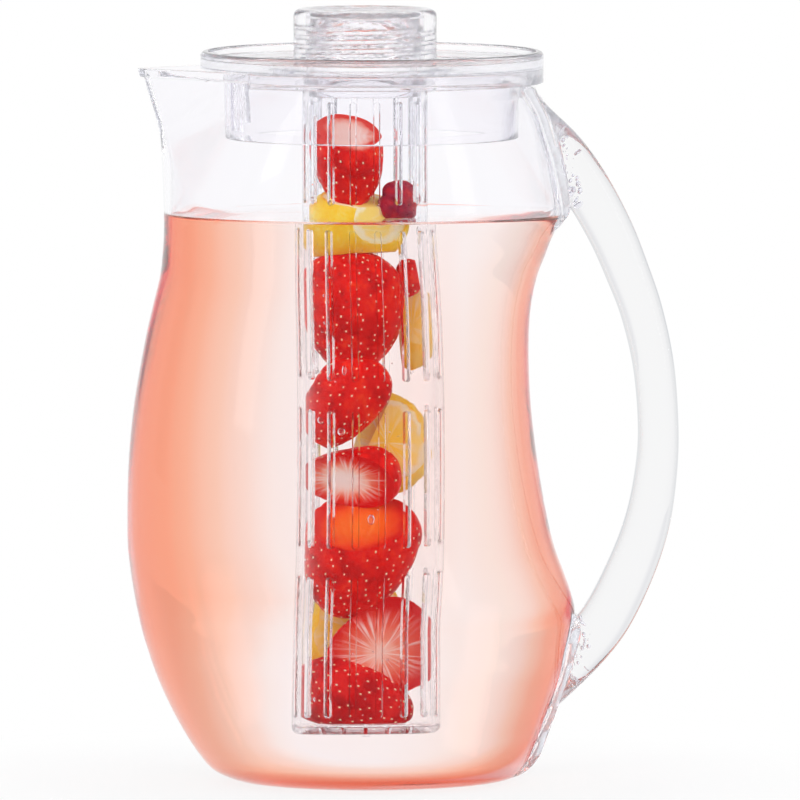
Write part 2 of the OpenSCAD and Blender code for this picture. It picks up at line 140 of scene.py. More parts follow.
front_rows = side_rows([(s[0], s[1]) for s in side_shares], belly_reach)
back_rows = side_rows([(s[0], s[2]) for s in side_shares], hip_reach)
width_rows = side_rows(width_shares, half_width)
spout_rows = [
    (mix(shoulder_h, jug_h, s[0]), mix(side_shares[-1][1] * belly_reach, spout_reach, s[1]))
    for s in spout_shares
]
pads = [[(s[0] * jug_h, s[1] * t) for s in shares]
        for shares, t in ((upper_pad_shares, upper_pad_t), (lower_pad_shares, lower_pad_t))]


def pad_at(z):
    """How far a pad stands proud of the jug's wall at a height."""
    return max([max(curve(rows, z), 0) for rows in pads if rows[0][0] < z < rows[-1][0]] + [0])


def spout_edge(a, r, reach, tip_r):
    """Distance from a section's centre to its edge, on the spout's side."""
    d, b = reach - tip_r, math.radians(abs(180 - a))
    if reach <= r:
        return r
    half = math.acos(clamp((r - tip_r) / d, -1))
    if b >= half:
        return r
    if b > math.atan2(tip_r * math.sin(half), d + tip_r * math.cos(half)):
        return r / math.cos(half - b)
    return d * math.cos(b) + math.sqrt(max(tip_r ** 2 - (d * math.sin(b)) ** 2, 0))


# The pads end inside this angle; the spout's tip keeps some rounding however deep the inset
pad_angle = 40
tip_share = 0.6
spout_rate = 1.6


def section(z, angles, outward, with_pads=False):
    """A level ring of the jug, moved outward from its outer wall; a negative value moves it in."""
    front, back = curve(front_rows, z), curve(back_rows, z)
    mid, half_x = (back - front) / 2, (front + back) / 2 + outward
    squash = (curve(width_rows, z) + outward) / half_x
    up = clamp((z - shoulder_h) / (jug_h - shoulder_h))
    reach = curve(spout_rows, z) + mid + outward if up > 0 else half_x
    near_r = spout_tip_r - min(-outward, tip_share * spout_tip_r)
    tip_r = mix(half_x, near_r, smooth(spout_rate * up))
    pad = pad_at(z) if with_pads else 0
    ring = []
    for a in angles:
        turn = math.radians(a)
        if 90 <= a <= 270:
            r = spout_edge(a, half_x, reach, tip_r)
        elif pad > 0 and min(a, 360 - a) <= pad_angle:
            wide = (half_x + pad) / math.cos(turn)
            off = abs(wide * math.sin(turn)) * squash
            r = mix(half_x, wide, smooth((pad_w / 2 + pad_edge - off) / (2 * pad_edge)))
        else:
            r = half_x
        ring.append(Vector((mid + r * math.cos(turn), squash * r * math.sin(turn), z)))
    return ring


def spread(start, stop, count):
    return [mix(start, stop, i / count) for i in range(count)]


# Angles of the rings: closest at the pads and at the spout's tip
half_angles = spread(0, 20, 20) + spread(20, 160, 70) + spread(160, 180, 28)
jug_angles = half_angles + [180] + [360 - a for a in reversed(half_angles[1:])]
boss_x = (curve(back_rows, 0) - curve(front_rows, 0)) / 2


def floor_ring(r, z):
    return [Vector((boss_x + r * math.cos(math.radians(a)), r * math.sin(math.radians(a)), z))
            for a in jug_angles]


def arc(z, out, r, start, stop, count=5):
    """Points (z, outward) of a rounded corner."""
    turns = [math.radians(mix(start, stop, i / count)) for i in range(count + 1)]
    return [(z + r * math.sin(t), out + r * math.cos(t)) for t in turns]


def put_in(name, data):
    """A new object in the scene, for a mesh, a lamp or the camera."""
    made = bpy.data.objects.new(name, data)
    bpy.context.scene.collection.objects.link(made)
    return made


# Edges that bend by more than this stay crisp; points closer than the weld are one point
crisp_angle = math.radians(32)
weld = 0.0005 * mm


def skin(name, rings, holes=(), looped=False):
    """A closed mesh over rings of points. Looped joins the last ring to the first one. A hole
    (a, b, c, d, p) opens rings a to b at columns c to d, through to the rings that run back
    from ring p."""
    n, m = len(rings[0]), len(rings)
    points = [point for ring in rings for point in ring]
    opened, walls = set(), []
    for a, b, c, d, p in holes:
        def at(row, col, far=False):
            return (p - (row - a) if far else row) * n + col % n
        for row in range(a, b):
            for col in range(c, d):
                opened |= {(row, col % n), (p - (row - a) - 1, col % n)}
            for col in (c, d):
                walls.append((at(row, col), at(row + 1, col), at(row + 1, col, True), at(row, col, True)))
        for col in range(c, d):
            for row in (a, b):
                walls.append((at(row, col), at(row, col + 1), at(row, col + 1, True), at(row, col, True)))
    faces = [(i * n + k, i * n + (k + 1) % n, (i + 1) % m * n + (k + 1) % n, (i + 1) % m * n + k)
             for i in range(m if looped else m - 1) for k in range(n) if (i, k) not in opened]
    if not looped:
        faces += [tuple(range(n)), tuple(range((m - 1) * n, m * n))]
    mesh = bpy.data.meshes.new(name)
    mesh.from_pydata(points, [], faces + walls)
    work = bmesh.new()
    work.from_mesh(mesh)
    bmesh.ops.remove_doubles(work, verts=work.verts, dist=weld)
    bmesh.ops.dissolve_degenerate(work, dist=weld, edges=work.edges)
    loose = [v for v in work.verts if not v.link_faces]
    bmesh.ops.delete(work, geom=loose, context="VERTS")
    bmesh.ops.recalc_face_normals(work, faces=work.faces)
    work.to_mesh(mesh)
    work.free()
    mesh.shade_smooth()
    mesh.set_sharp_from_angle(angle=crisp_angle)
    return put_in(name, mesh)


def lifted(z):
    """Height on the inside of the wall for a height on its outside."""
    return floor_t + z * (1 - floor_t / jug_h)


# Radius and height of the floor: over the boss, down its flared foot and out towards the heel.
# A face's middle is closed by a ring of centre_r
centre_r = 1 * mm
floor_path = [
    (centre_r, boss_h), (boss_r - 2 * edge_r, boss_h), (boss_r - edge_r, boss_h - edge_r / 3),
    (boss_r, boss_h - edge_r), (boss_r + 1.2 * mm, 0.55 * boss_h),
    (mix(boss_r, boss_foot_r, 0.4), 0.3 * boss_h), (mix(boss_r, boss_foot_r, 0.7), 0.1 * boss_h),
    (boss_foot_r, 0), (boss_foot_r + 8 * mm, 0.1 * mm), (boss_foot_r + 15 * mm, 0.3 * mm),
]
heel_h = 6 * mm


def inside_rings(levels, grow=0.0):
    """Rings of the jug's inside from the boss outward and up; grow sinks them in the wall."""
    rings = [floor_ring(r, floor_t + z - grow) for r, z in floor_path]
    for z in levels:
        sunk = grow * (1 - smooth(z / heel_h))
        ring = section(z, jug_angles, grow - jug_wall)
        rings.append([Vector((p.x, p.y, lifted(z) - sunk)) for p in ring])
    return rings


# Levels of the rings: close at the heel, even up the wall, close again over the upper pad's end
heel = [s * jug_h for s in (0.0028, 0.0045, 0.0065, 0.0095, 0.013, 0.0175, 0.022, 0.028)]
wall_foot = 0.034 * jug_h
outer_rows, inner_rows = 170, 165
outer_levels = heel + spread(wall_foot, 0.972 * jug_h, outer_rows)
outer_levels += [s * jug_h for s in (0.972, 0.974, 0.9765, 0.979)]
lip_z = jug_h - lip_h
rim_path = ([(lip_z - edge_r, 0), (lip_z - 0.2 * edge_r, 0.3 * lip_out)]
            + arc(lip_z + edge_r, lip_out - edge_r, edge_r, -90, 0)
            + arc(jug_h - edge_r, lip_out - edge_r, edge_r, 0, 90)
            + arc(jug_h - edge_r, edge_r - jug_wall, edge_r, 90, 180))
base_ring = section(0, jug_angles, 0)
base_rings = [[Vector((mix(boss_x, p.x, s), p.y * s, 0)) for p in base_ring]
              for s in (0.02, 0.3, 0.6, 0.85, 0.97, 1)]
jug_rings = base_rings + [section(z, jug_angles, 0, True) for z in outer_levels]
jug_rings += [section(z, jug_angles, out) for z, out in rim_path]
inner_levels = heel + spread(wall_foot, 0.996 * jug_h, inner_rows)
jug_rings += reversed(inside_rings(inner_levels))


def srgb(text):
    """Linear colour of an sRGB hex value."""
    parts = [int(text[i:i + 2], 16) / 255 for i in (1, 3, 5)]
    return (*[c / 12.92 if c <= 0.04045 else ((c + 0.055) / 1.055) ** 2.4 for c in parts], 1)


def add(tree, kind, inputs=None, stops=(), **settings):
    """Adds a node with its settings. Each input takes a value, the output it is linked to, or a
    node, for its first output. Stops are the (place, hex colour) pairs of a colour ramp."""
    made = tree.nodes.new("ShaderNode" + kind)
    for name, value in settings.items():
        setattr(made, name, value)
    for i, (place, colour) in enumerate(stops):
        if i >= len(made.color_ramp.elements):
            made.color_ramp.elements.new(1.0)
        made.color_ramp.elements[i].position = place
        made.color_ramp.elements[i].color = srgb(colour)
    for name, value in (inputs or {}).items():
        if isinstance(value, bpy.types.Node):
            value = value.outputs[0]
        if isinstance(value, bpy.types.NodeSocket):
            tree.links.new(value, made.inputs[name])
        else:
            made.inputs[name].default_value = value
    return made


def emptied(owner):
    """The node tree of a material or world, with nothing in it yet."""
    owner.use_nodes = True
    owner.node_tree.nodes.clear()
    return owner.node_tree


# Injection-moulded acrylic, polished in the mould: water-clear face on, with painted shade that greys it
# where the eye meets the wall edge on, the slow ripple of the flow in the mould and a faint milky haze
acrylic_ior = 1.49
# Most of its faces lie in drink and mirror far less than they do in air
face_mirror = "#6e6e6e"
drowned_mirror = "#404040"


def clear_acrylic(name, tint_and_edge_shade_stops, ripple=22 * mm, ripple_depth=0.02 * mm, mirror=face_mirror,
                  leak=0.35, bond=None):
    """Tint and edge shade stops are its tints from face on to edge on, the grey ones edge on being painted
    shade, and leak is how much of the light that runs along inside it gets out. A bond (height of its
    middle, half height, half width) is
    where another piece is cemented on: light crosses it straight, but for some milkiness."""
    material = bpy.data.materials.new(name)
    tree = emptied(material)
    place = add(tree, "TexCoord")
    flow = add(tree, "TexNoise", {
        "Vector": place.outputs["Object"], "Scale": 1 / ripple, "Detail": 1.5})
    wave = add(tree, "Bump", {"Height": flow, "Distance": ripple_depth})
    turned = add(tree, "LayerWeight", {"Blend": 0.5, "Normal": wave})
    # Painted shade: this tint greys the acrylic where the eye meets it edge on
    tint = add(tree, "ValToRGB", {"Fac": turned.outputs["Facing"]}, tint_and_edge_shade_stops)
    # Haze lies in patches as wide as a fingertip's wipe
    wiped = add(tree, "TexNoise", {
        "Vector": place.outputs["Object"], "Scale": 1 / (9 * mm), "Detail": 3.0})
    polish = add(tree, "MapRange", {
        "Value": wiped, "From Min": 0.45, "From Max": 0.75, "To Min": 0.0, "To Max": 0.02})
    # Light is tinted where it enters and not where it leaves. What runs along inside the wall,
    # flatter than 50 degrees, leaks out at each turn
    side = add(tree, "NewGeometry")
    body_tint = add(tree, "Mix", {
        "Factor": side.outputs["Backfacing"], 6: tint, 7: srgb("#ffffff")}, data_type="RGBA")
    guided = add(tree, "MapRange", {
        "Value": turned.outputs["Facing"], "From Min": 0.34, "From Max": 0.46, "To Min": 0.0,
        "To Max": leak})
    leaks = add(tree, "Math", {0: guided, 1: side.outputs["Backfacing"]}, operation="MULTIPLY")
    shell = add(tree, "BsdfPrincipled", {
        "Base Color": body_tint.outputs[2], "Roughness": polish, "IOR": acrylic_ior,
        "Transmission Weight": 1.0, "Specular Tint": srgb(mirror), "Normal": wave})
    # Light from the room and the lamps reaches what is inside
    path = add(tree, "LightPath")
    let_by = add(tree, "BsdfTransparent", {"Color": srgb("#ffffff")})
    leaked = add(tree, "BsdfTransparent", {"Color": srgb("#eeeff3")})
    body = add(tree, "MixShader", {0: leaks, 1: shell, 2: leaked})
    if bond:
        middle, half_h, half_w = bond
        spot = add(tree, "VectorMath", {
            0: place.outputs["Object"], 1: (0, 1 / half_w, 1 / half_h), 2: (0, 0, -middle / half_h)},
            operation="MULTIPLY_ADD")
        square = add(tree, "VectorMath", {0: spot, 1: spot}, operation="MULTIPLY")
        far = add(tree, "VectorMath", {0: square, 1: square}, operation="DOT_PRODUCT")
        joined = add(tree, "MapRange", {
            "Value": far.outputs["Value"], "From Min": 1.0, "From Max": 0.85})
        milk = add(tree, "MapRange", {
            "Value": wiped, "From Min": 0.4, "From Max": 0.7, "To Min": 0.2, "To Max": 0.5})
        white = add(tree, "BsdfTranslucent", {"Color": srgb("#f4f4f8")})
        straight = add(tree, "BsdfTransparent", {"Color": srgb("#fafafc")})
        cement = add(tree, "MixShader", {0: milk, 1: straight, 2: white})
        body = add(tree, "MixShader", {0: joined, 1: body, 2: cement})
    lit = add(tree, "MixShader", {0: path.outputs["Is Shadow Ray"], 1: body, 2: let_by})
    add(tree, "OutputMaterial", {"Surface": lit})
    return material


# Clear face on, with painted shade greying it towards edge on
jug_tints_and_edge_shade = [(0, "#fcfbfe"), (0.5, "#f9f8fc"), (0.8, "#f4f4f8"), (0.95, "#e2e4e9"), (1, "#979ba3")]
jug = skin("jug_shell", jug_rings)
jug.data.materials.append(clear_acrylic("clear_acrylic_jug", jug_tints_and_edge_shade))
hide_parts("pitcher_body")
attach(jug, "jug")

# The handle: a solid bow of cast and polished acrylic. Its ends are cut to the pads' faces
# and bonded there, and the bond has trapped small bubbles of air.

handle_reach = 95.6 * mm
handle_t = 13.7 * mm
handle_w = 19 * mm
bond_sink = 0.5 * mm
bow_shares = [
    (0.49, 0.949, 1.215), (0.568, 0.917, 1.215), (0.664, 0.879, 1.215), (0.749, 0.832, 1.19),
    (0.832, 0.772, 1.136), (0.889, 0.718, 1.085), (0.942, 0.659, 1.04), (0.984, 0.582, 1.01),
    (1, 0.492, 1), (0.988, 0.423, 1.05), (0.957, 0.359, 1.12), (0.9, 0.296, 1.18),
    (0.818, 0.231, 1.21), (0.726, 0.185, 1.21), (0.603, 0.138, 1.22), (0.5, 0.1, 1.22),
]
bow_end = len(bow_shares) - 1
bow_x = [(i, s[0] * handle_reach) for i, s in enumerate(bow_shares)]
bow_z = [(i, s[1] * jug_h) for i, s in enumerate(bow_shares)]
bow_t = [(i, s[2]) for i, s in enumerate(bow_shares)]


def bow_at(u):
    return Vector((curve(bow_x, u), curve(bow_z, u)))


def bow_point(u, t, step=0.01):
    """A point of the bow at u, moved outward along its normal by t."""
    way = (bow_at(min(u + step, bow_end)) - bow_at(max(u - step, 0))).normalized()
    return bow_at(u) + Vector((-way.y, way.x)) * t * curve(bow_t, u)


def leaves(t, low, high, halvings=22):
    """Place on the bow where a line at offset t leaves the pad's face."""
    for _ in range(halvings):
        m = (low + high) / 2
        p = bow_point(m, t)
        if p.x > curve(back_rows, p.y) + pad_at(p.y) - bond_sink:
            high = m
        else:
            low = m
    return (low + high) / 2


oblong_power = 0.62
handle_points = 56
handle_steps = 150


def rounded(v):
    return math.copysign(abs(v) ** oblong_power, v)


handle_rings = [[] for _ in range(handle_steps + 1)]
for k in range(handle_points):
    turn = math.radians(360 * (k + 0.5) / handle_points)
    out, side = handle_t / 2 * rounded(math.cos(turn)), handle_w / 2 * rounded(math.sin(turn))
    first, last = leaves(out, 0, bow_end / 2), leaves(out, bow_end, bow_end / 2)
    for i, ring in enumerate(handle_rings):
        p = bow_point(mix(first, last, i / handle_steps), out)
        ring.append(Vector((p.x, side, p.y)))
handle = skin("handle_bow", handle_rings)
# Cast acrylic, thick, bent warm and polished: painted shade greys it well before its edges, with a
# stronger roll in its surface, and most of the light that runs along inside it gets out
handle_leak = 0.8
handle.data.materials.append(clear_acrylic("cast_acrylic_handle", [
    (0, "#eeeeef"), (0.3, "#e6e6e8"), (0.6, "#cfd1d4"), (0.85, "#a8acb1"), (1, "#8a8f95")],
    ripple=16 * mm, ripple_depth=0.25 * mm, leak=handle_leak))
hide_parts("handle")
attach(handle, "jug")

# The two bonds are the faces of the pads and of the handle's ends. Their cement is clear with
# milky patches, which glow a little where light comes through from behind
bonds = [(min(p.z for p in ring), max(p.z for p in ring)) for ring in (handle_rings[0], handle_rings[-1])]
for name, (low, high) in zip(("upper", "lower"), bonds):
    bonded = clear_acrylic("bonded_acrylic_" + name, jug_tints_and_edge_shade, leak=handle_leak,
                           bond=((low + high) / 2, (high - low) / 2, handle_w / 2))
    for made in (jug, handle):
        made.data.materials.append(bonded)
for face in handle.data.polygons:
    if len(face.vertices) == handle_points:
        face.material_index = 1 if face.center.z > jug_h / 2 else 2
for face in jug.data.polygons:
    at = face.center
    if abs(at.y) < pad_w / 2 and pad_at(at.z) > 0 and at.x > curve(back_rows, at.z) + pad_at(at.z) / 2:
        face.material_index = 1 if at.z > jug_h / 2 else 2

# Air caught in the two bonds: flat blisters in the cement between handle and pad, and rounder
# bubbles that rose into the cast acrylic beside it.
blister_t = 0.16 * mm
blister_depth = 0.6 * mm
bond_tries = 90
bond_side_share = 0.36
bond_bubble_least = 0.12 * mm
bond_bubble_more = 0.7 * mm
bond_bubble_depth = 3.2 * mm
bubble_gap = 0.1 * mm
bubble_detail = 2


def bubbles(name, places, material):
    """One mesh of many bubbles, each given as (centre, (half x, half y, half z))."""
    work = bmesh.new()
    for centre, halves in places:
        shape = Matrix.Translation(centre) @ Matrix.Diagonal((*halves, 1))
        bmesh.ops.create_icosphere(work, subdivisions=bubble_detail, radius=1, matrix=shape)
    mesh = bpy.data.meshes.new(name)
    work.to_mesh(mesh)
    work.free()
    mesh.shade_smooth()
    mesh.materials.append(material)
    return put_in(name, mesh)


# Air seen through acrylic: the bubble's wall mirrors the bright room, with a thin dark edge
def trapped_air(name, ior):
    material = bpy.data.materials.new(name)
    tree = emptied(material)
    place = add(tree, "TexCoord")
    dust = add(tree, "TexNoise", {
        "Vector": place.outputs["Object"], "Scale": 1 / (0.7 * mm), "Detail": 1.0})
    film = add(tree, "MapRange", {"Value": dust, "To Min": 0.0, "To Max": 0.12})
    wall = add(tree, "BsdfGlass", {"Color": srgb("#fcfcff"), "Roughness": film, "IOR": ior})
    add(tree, "OutputMaterial", {"Surface": wall})
    return material


def in_bow(x, z, size):
    """Is a bubble well inside the handle?"""
    spots = spread(0, bow_end, 2 * handle_steps)
    u = min(spots, key=lambda v: (bow_at(v) - Vector((x, z))).length)
    return (bow_at(u) - Vector((x, z))).length < 0.4 * handle_t * curve(bow_t, u) - size


bond_air = trapped_air("air_in_clear_cement", 1 / acrylic_ior)
chance = random.Random(5)
for name, (low, high) in zip(("upper_bond_bubbles", "lower_bond_bubbles"), bonds):
    places = []
    for i in range(bond_tries):
        z = chance.uniform(low, high)
        side = chance.uniform(-bond_side_share, bond_side_share) * handle_w
        size = bond_bubble_least + bond_bubble_more * chance.random() ** 3
        deep = bond_bubble_depth * chance.random() ** 2
        flat = blister_t if deep < blister_depth else size
        x = curve(back_rows, z) + pad_at(z) + flat + bubble_gap + deep
        if in_bow(x, z, size):
            places.append((Vector((x, side, z)), (flat, size, size * chance.uniform(1, 1.8))))
    bond_bubbles = bubbles(name, places, bond_air)
    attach(bond_bubbles, "jug")

# The lid: one clear acrylic moulding that sits on the rim. Its skirt plugs the neck and has
# strainer slots towards the spout; its flange hangs round the rim and stops at the spout.

seat_gap = 0.2 * mm
lid_r = 57.3 * mm
lid_edge_h = 2.6 * mm
flange_t = 2.1 * mm
flange_drop = 4.7 * mm
plate_t = 3 * mm
skirt_h = 23.4 * mm
skirt_t = 1.9 * mm
skirt_gap = 0.5 * mm
strainer_slots = 9
strainer_slot_w = 2.6 * mm
strainer_step = 6.5
strainer_band_h = 3.2 * mm
screw_shift = 2.3 * mm
thread_r = 19.6 * mm
hole_gap = 0.4 * mm
lid_round = 1.6 * mm
spout_gap_angle = 44
soft_r = 0.25 * mm

plate_z = jug_h + seat_gap
plate_top = plate_z + plate_t
lid_top = plate_top + lid_edge_h
flange_z = jug_h - flange_drop
skirt_r = neck_r - jug_wall - skirt_gap
skirt_in_r = skirt_r - skirt_t
skirt_z = plate_z - skirt_h
hole_r = thread_r + hole_gap
flange_in_r = lid_r - flange_t
ridge_in_r = flange_in_r - edge_r

plate_rings = 4
lid_path = arc(plate_z + soft_r, hole_r + soft_r, soft_r, 180, 270, 2)
lid_path += [(plate_z, mix(hole_r + soft_r, skirt_in_r, (i + 1) / (plate_rings + 1)))
             for i in range(plate_rings)]
lid_path += arc(plate_z - soft_r, skirt_in_r - soft_r, soft_r, 90, 0, 2)
lid_slot_in = len(lid_path)
lid_path += [(plate_z - strainer_band_h, skirt_in_r), (skirt_z + strainer_band_h, skirt_in_r)]
lid_path += arc(skirt_z + soft_r, skirt_in_r + soft_r, soft_r, 180, 270, 2)
lid_path += arc(skirt_z + edge_r, skirt_r - edge_r, edge_r, -90, 0, 4)
lid_slot_out = len(lid_path)
lid_path += [(skirt_z + strainer_band_h, skirt_r), (plate_z - strainer_band_h, skirt_r)]
lid_path += arc(plate_z - soft_r, skirt_r + soft_r, soft_r, 180, 90, 2)
flange_first = len(lid_path)
lid_path += arc(plate_z - soft_r, flange_in_r - soft_r, soft_r, 90, 0, 2)
lid_path += arc(flange_z + soft_r, flange_in_r + soft_r, soft_r, 180, 270, 2)
lid_path += arc(flange_z + edge_r, lid_r - edge_r, edge_r, -90, 0, 4)
flange_last = len(lid_path)
lid_path += [(plate_z + soft_r, lid_r)]
lid_path += arc(lid_top - lid_round, lid_r - lid_round, lid_round, 0, 90, 8)
lid_path += arc(lid_top - soft_r, ridge_in_r + soft_r, soft_r, 90, 180, 2)
lid_path += arc(plate_top + edge_r, ridge_in_r - edge_r, edge_r, 0, -90, 3)
lid_path += [(plate_top, mix(ridge_in_r - edge_r, hole_r + soft_r, (i + 1) / (plate_rings + 2)))
             for i in range(plate_rings + 1)]
lid_path += arc(plate_top - soft_r, hole_r + soft_r, soft_r, 90, 180, 2)

slot_half = math.degrees(math.asin(strainer_slot_w / 2 / skirt_r))
gap_lines = [180 - spout_gap_angle, 180 + spout_gap_angle]
strainer_mids = [180 + strainer_step * (i - (strainer_slots - 1) / 2) for i in range(strainer_slots)]
strainer_first = strainer_mids[0] - strainer_step / 2
strainer_last = strainer_mids[-1] + strainer_step / 2
# Columns of the lid: even round the back, two at each end of the flange's gap, and four to a
# strainer slot
back_columns, side_columns = 64, 8
slot_lines = [mid + off for mid in strainer_mids
              for off in (-strainer_step / 2, -slot_half, 0, slot_half)]
lid_angles = (spread(0, gap_lines[0], back_columns) + [gap_lines[0]]
              + spread(gap_lines[0], strainer_first, side_columns) + slot_lines
              + spread(strainer_last, gap_lines[1], side_columns) + [gap_lines[1], gap_lines[1]]
              + spread(gap_lines[1], 360, back_columns)[1:])
gap_columns = range(back_columns + 1, len(lid_angles) - back_columns)
lid_rings = []
for i, (z, r) in enumerate(lid_path):
    off_axis = screw_shift * clamp((skirt_in_r - r) / (skirt_in_r - hole_r))
    ring = []
    for k, a in enumerate(lid_angles):
        turn = math.radians(a)
        high = max(z, plate_z) if flange_first <= i < flange_last and k in gap_columns else z
        ring.append(Vector((r * math.cos(turn) - off_axis, r * math.sin(turn), high)))
    lid_rings.append(ring)
strainer_columns = [back_columns + side_columns + 4 * i + 2 for i in range(strainer_slots)]
lid_holes = [(lid_slot_in, lid_slot_in + 1, c, c + 2, lid_slot_out + 1) for c in strainer_columns]
# Moulded and polished like the jug, but thicker, with painted shade that greys it sooner where it turns away
lid_acrylic = clear_acrylic("clear_acrylic_lid", [
    (0, "#fdfcfe"), (0.5, "#f9f8fb"), (0.8, "#e9e9ef"), (0.95, "#c4c6ce"), (1, "#8f929a")])
# Painted shade on the top of its ring: where it is seen edge on it is tinted nearly black and mirrors
# little, a fine dark line
lid_painted_dark_line = clear_acrylic("acrylic_ring_painted_dark_line", [
    (0, "#f6f5fa"), (0.3, "#d8d8e0"), (0.42, "#3c3e44"), (1, "#202226")], mirror="#141416")
ring_edge_h = 0.27 * mm
lid = skin("lid_moulding", lid_rings, lid_holes, looped=True)
lid.data.materials.append(lid_acrylic)
lid.data.materials.append(lid_painted_dark_line)
for face in lid.data.polygons:
    if face.center.z > lid_top - ring_edge_h:
        face.material_index = 1
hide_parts("lid")
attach(lid, "lid")

# The knob: a moulded acrylic cap with a shallow dish in its top. It screws down on the
# infuser's collar through its own inner thread, so the thread's turns show as level lines.

pitch = 3 * mm
thread_turns = 3.2
thread_depth = 1.2 * mm
thread_gap = 0.3 * mm
thread_start = 7
half_turn = 180
root_half = 0.27 * pitch
crest_half = 0.15 * pitch
thread_fade = 50
knob_r = 23.9 * mm
knob_h = 16.5 * mm
knob_top_t = 2.4 * mm
knob_round = 2.4 * mm
dish_depth = 1 * mm
dish_floor_r = 11.7 * mm

knob_z = plate_top + seat_gap
knob_top = knob_z + knob_h
knob_bore_r = thread_r + thread_gap
knob_inside_top = knob_top - knob_top_t
collar_top = knob_inside_top - seat_gap
thread_z = knob_z + root_half + edge_r
turned_columns = 144
turned_angles = [360 * i / turned_columns for i in range(turned_columns)]


def thread_share(z, a, start):
    """Share of the thread's depth at a height and an angle."""
    share, whole = 0.0, 360 * thread_turns
    for lap in range(math.ceil(thread_turns)):
        run = (a - start) % 360 + 360 * lap
        if run <= whole:
            away = abs(z - thread_z - pitch * run / 360)
            rise = clamp((root_half - away) / (root_half - crest_half))
            share = max(share, rise * smooth(min(run, whole - run) / thread_fade))
    return share


def turned_ring(z, r, reach=0.0, start=0):
    """A ring round the screw's axis; reach is how far the thread stands out of it."""
    ring = []
    for a in turned_angles:
        at = r + (reach * thread_share(z, a, start) if reach else 0)
        turn = math.radians(a)
        ring.append(Vector((at * math.cos(turn) - screw_shift, at * math.sin(turn), z)))
    return ring


def turned_rings(path):
    return [turned_ring(z, r) for z, r in path]


thread_row = 0.14 * mm


def thread_rings(low, high, r, reach, start):
    count = round((high - low) / thread_row)
    return [turned_ring(z, r, reach, start) for z in spread(low, high, count) + [high]]


# From the middle of its inside out, down the thread, up the outside and into the dish
knob_rings = [turned_ring(knob_inside_top, r) for r in (centre_r, 6 * mm, 12 * mm, 17 * mm)]
knob_rings += turned_rings(arc(knob_inside_top - soft_r, knob_bore_r - soft_r, soft_r, 90, 0, 2))
knob_rings += reversed(thread_rings(knob_z + soft_r, knob_inside_top - 2 * soft_r, knob_bore_r,
                                    -thread_depth, thread_start + half_turn))
knob_rings += turned_rings(
    arc(knob_z + soft_r, knob_bore_r + soft_r, soft_r, 180, 270, 2)
    + arc(knob_z + edge_r, knob_r - edge_r, edge_r, -90, 0, 4)
    + [(mix(knob_z, knob_top, 0.5), knob_r)]
    + arc(knob_top - knob_round, knob_r - knob_round, knob_round, 0, 90, 10))
dish_r = knob_r - knob_round - edge_r
knob_rings += [turned_ring(knob_top - dish_depth * smooth(1 - s), mix(dish_floor_r, dish_r, s))
               for s in (1, 0.9, 0.75, 0.6, 0.45, 0.3, 0.15, 0)]
knob_rings += [turned_ring(knob_top - dish_depth, r) for r in (9 * mm, 5 * mm, centre_r)]
knob = skin("knob_cap", knob_rings)
knob.data.materials.append(lid_acrylic)
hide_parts("knob")
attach(knob, "knob")

# The infuser: a moulded acrylic tube with four tiers of slots, and a threaded collar whose
# spigot is bonded into its top. The collar passes up through the lid's plate into the knob.

collar_bore_r = 16.4 * mm
spigot_h = 6 * mm
spigot_gap = 0.1 * mm
collar_flange_h = 3 * mm
tube_r = 20.9 * mm
tube_wall = 2 * mm
tube_bottom_t = 2.4 * mm
tube_z = 20.8 * mm
slots_round = 16
slot_w = 2 * mm
foot_round = 2.6 * mm
foot_fillet = 1.3 * mm
nub_r = 1.1 * mm
nub_h = 0.9 * mm
drain_l = 5 * mm
drain_w = 1 * mm
land_line = 0.35 * mm

clamp_z = plate_z - seat_gap
tube_top = clamp_z - collar_flange_h
tube_in_r = tube_r - tube_wall
collar_root_r = thread_r - thread_depth
spigot_r = tube_in_r - spigot_gap
spigot_z = tube_top - spigot_h
# Down the collar's bore, round its spigot and its flange, and up the thread
collar_rings = turned_rings(
    arc(collar_top - soft_r, collar_bore_r + soft_r, soft_r, 90, 180, 2)
    + [(mix(spigot_z, collar_top, 0.5), collar_bore_r)]
    + arc(spigot_z + soft_r, collar_bore_r + soft_r, soft_r, 180, 270, 2)
    + arc(spigot_z + edge_r, spigot_r - edge_r, edge_r, -90, 0, 3)
    + [(tube_top, spigot_r), (tube_top, tube_r)]
    + arc(clamp_z - soft_r, tube_r - soft_r, soft_r, 0, 90, 2)
    + [(clamp_z, collar_root_r + soft_r)])
collar_rings += thread_rings(clamp_z + soft_r, collar_top - edge_r, collar_root_r, thread_depth,
                             thread_start)
collar_rings += turned_rings(arc(collar_top - edge_r, collar_root_r - edge_r, edge_r, 0, 90, 3))
# Thin moulded acrylic that stands in the drink, so it mirrors little; painted shade greys it only late
# towards edge on, with the short ripple of a narrow mould
tube_acrylic = clear_acrylic("clear_acrylic_infuser", [
    (0, "#fefeff"), (0.5, "#fafafc"), (0.8, "#eeeff3"), (0.95, "#cbced4"), (1, "#9da1a9")],
    ripple=12 * mm, mirror=drowned_mirror)
collar = skin("infuser_collar_moulding", collar_rings, looped=True)
collar.data.materials.append(tube_acrylic)
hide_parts("infuser_collar")
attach(collar, "infuser")

# Columns of the tube: nine across each slot, then seven across the land beside it
slot_cells = 8
across_slot = [-math.cos(math.pi * i / slot_cells) for i in range(slot_cells + 1)]
slot_turn = 360 / slots_round
columns = []
for i in range(slots_round):
    mid = slot_turn * (i + 0.5)
    columns += [(mid, across * slot_w / 2, 0) for across in across_slot]
    columns += [(mid, slot_w / 2 + land_line, 0), (mid, None, 1)]
    columns += [(mid + slot_turn / 2, off, 0) for off in (-drain_w / 2, 0, drain_w / 2)]
    columns += [(mid + slot_turn, None, -1), (mid + slot_turn, -slot_w / 2 - land_line, 0)]
columns_round = len(columns) // slots_round
drain_start_r = tube_in_r - foot_fillet - drain_l


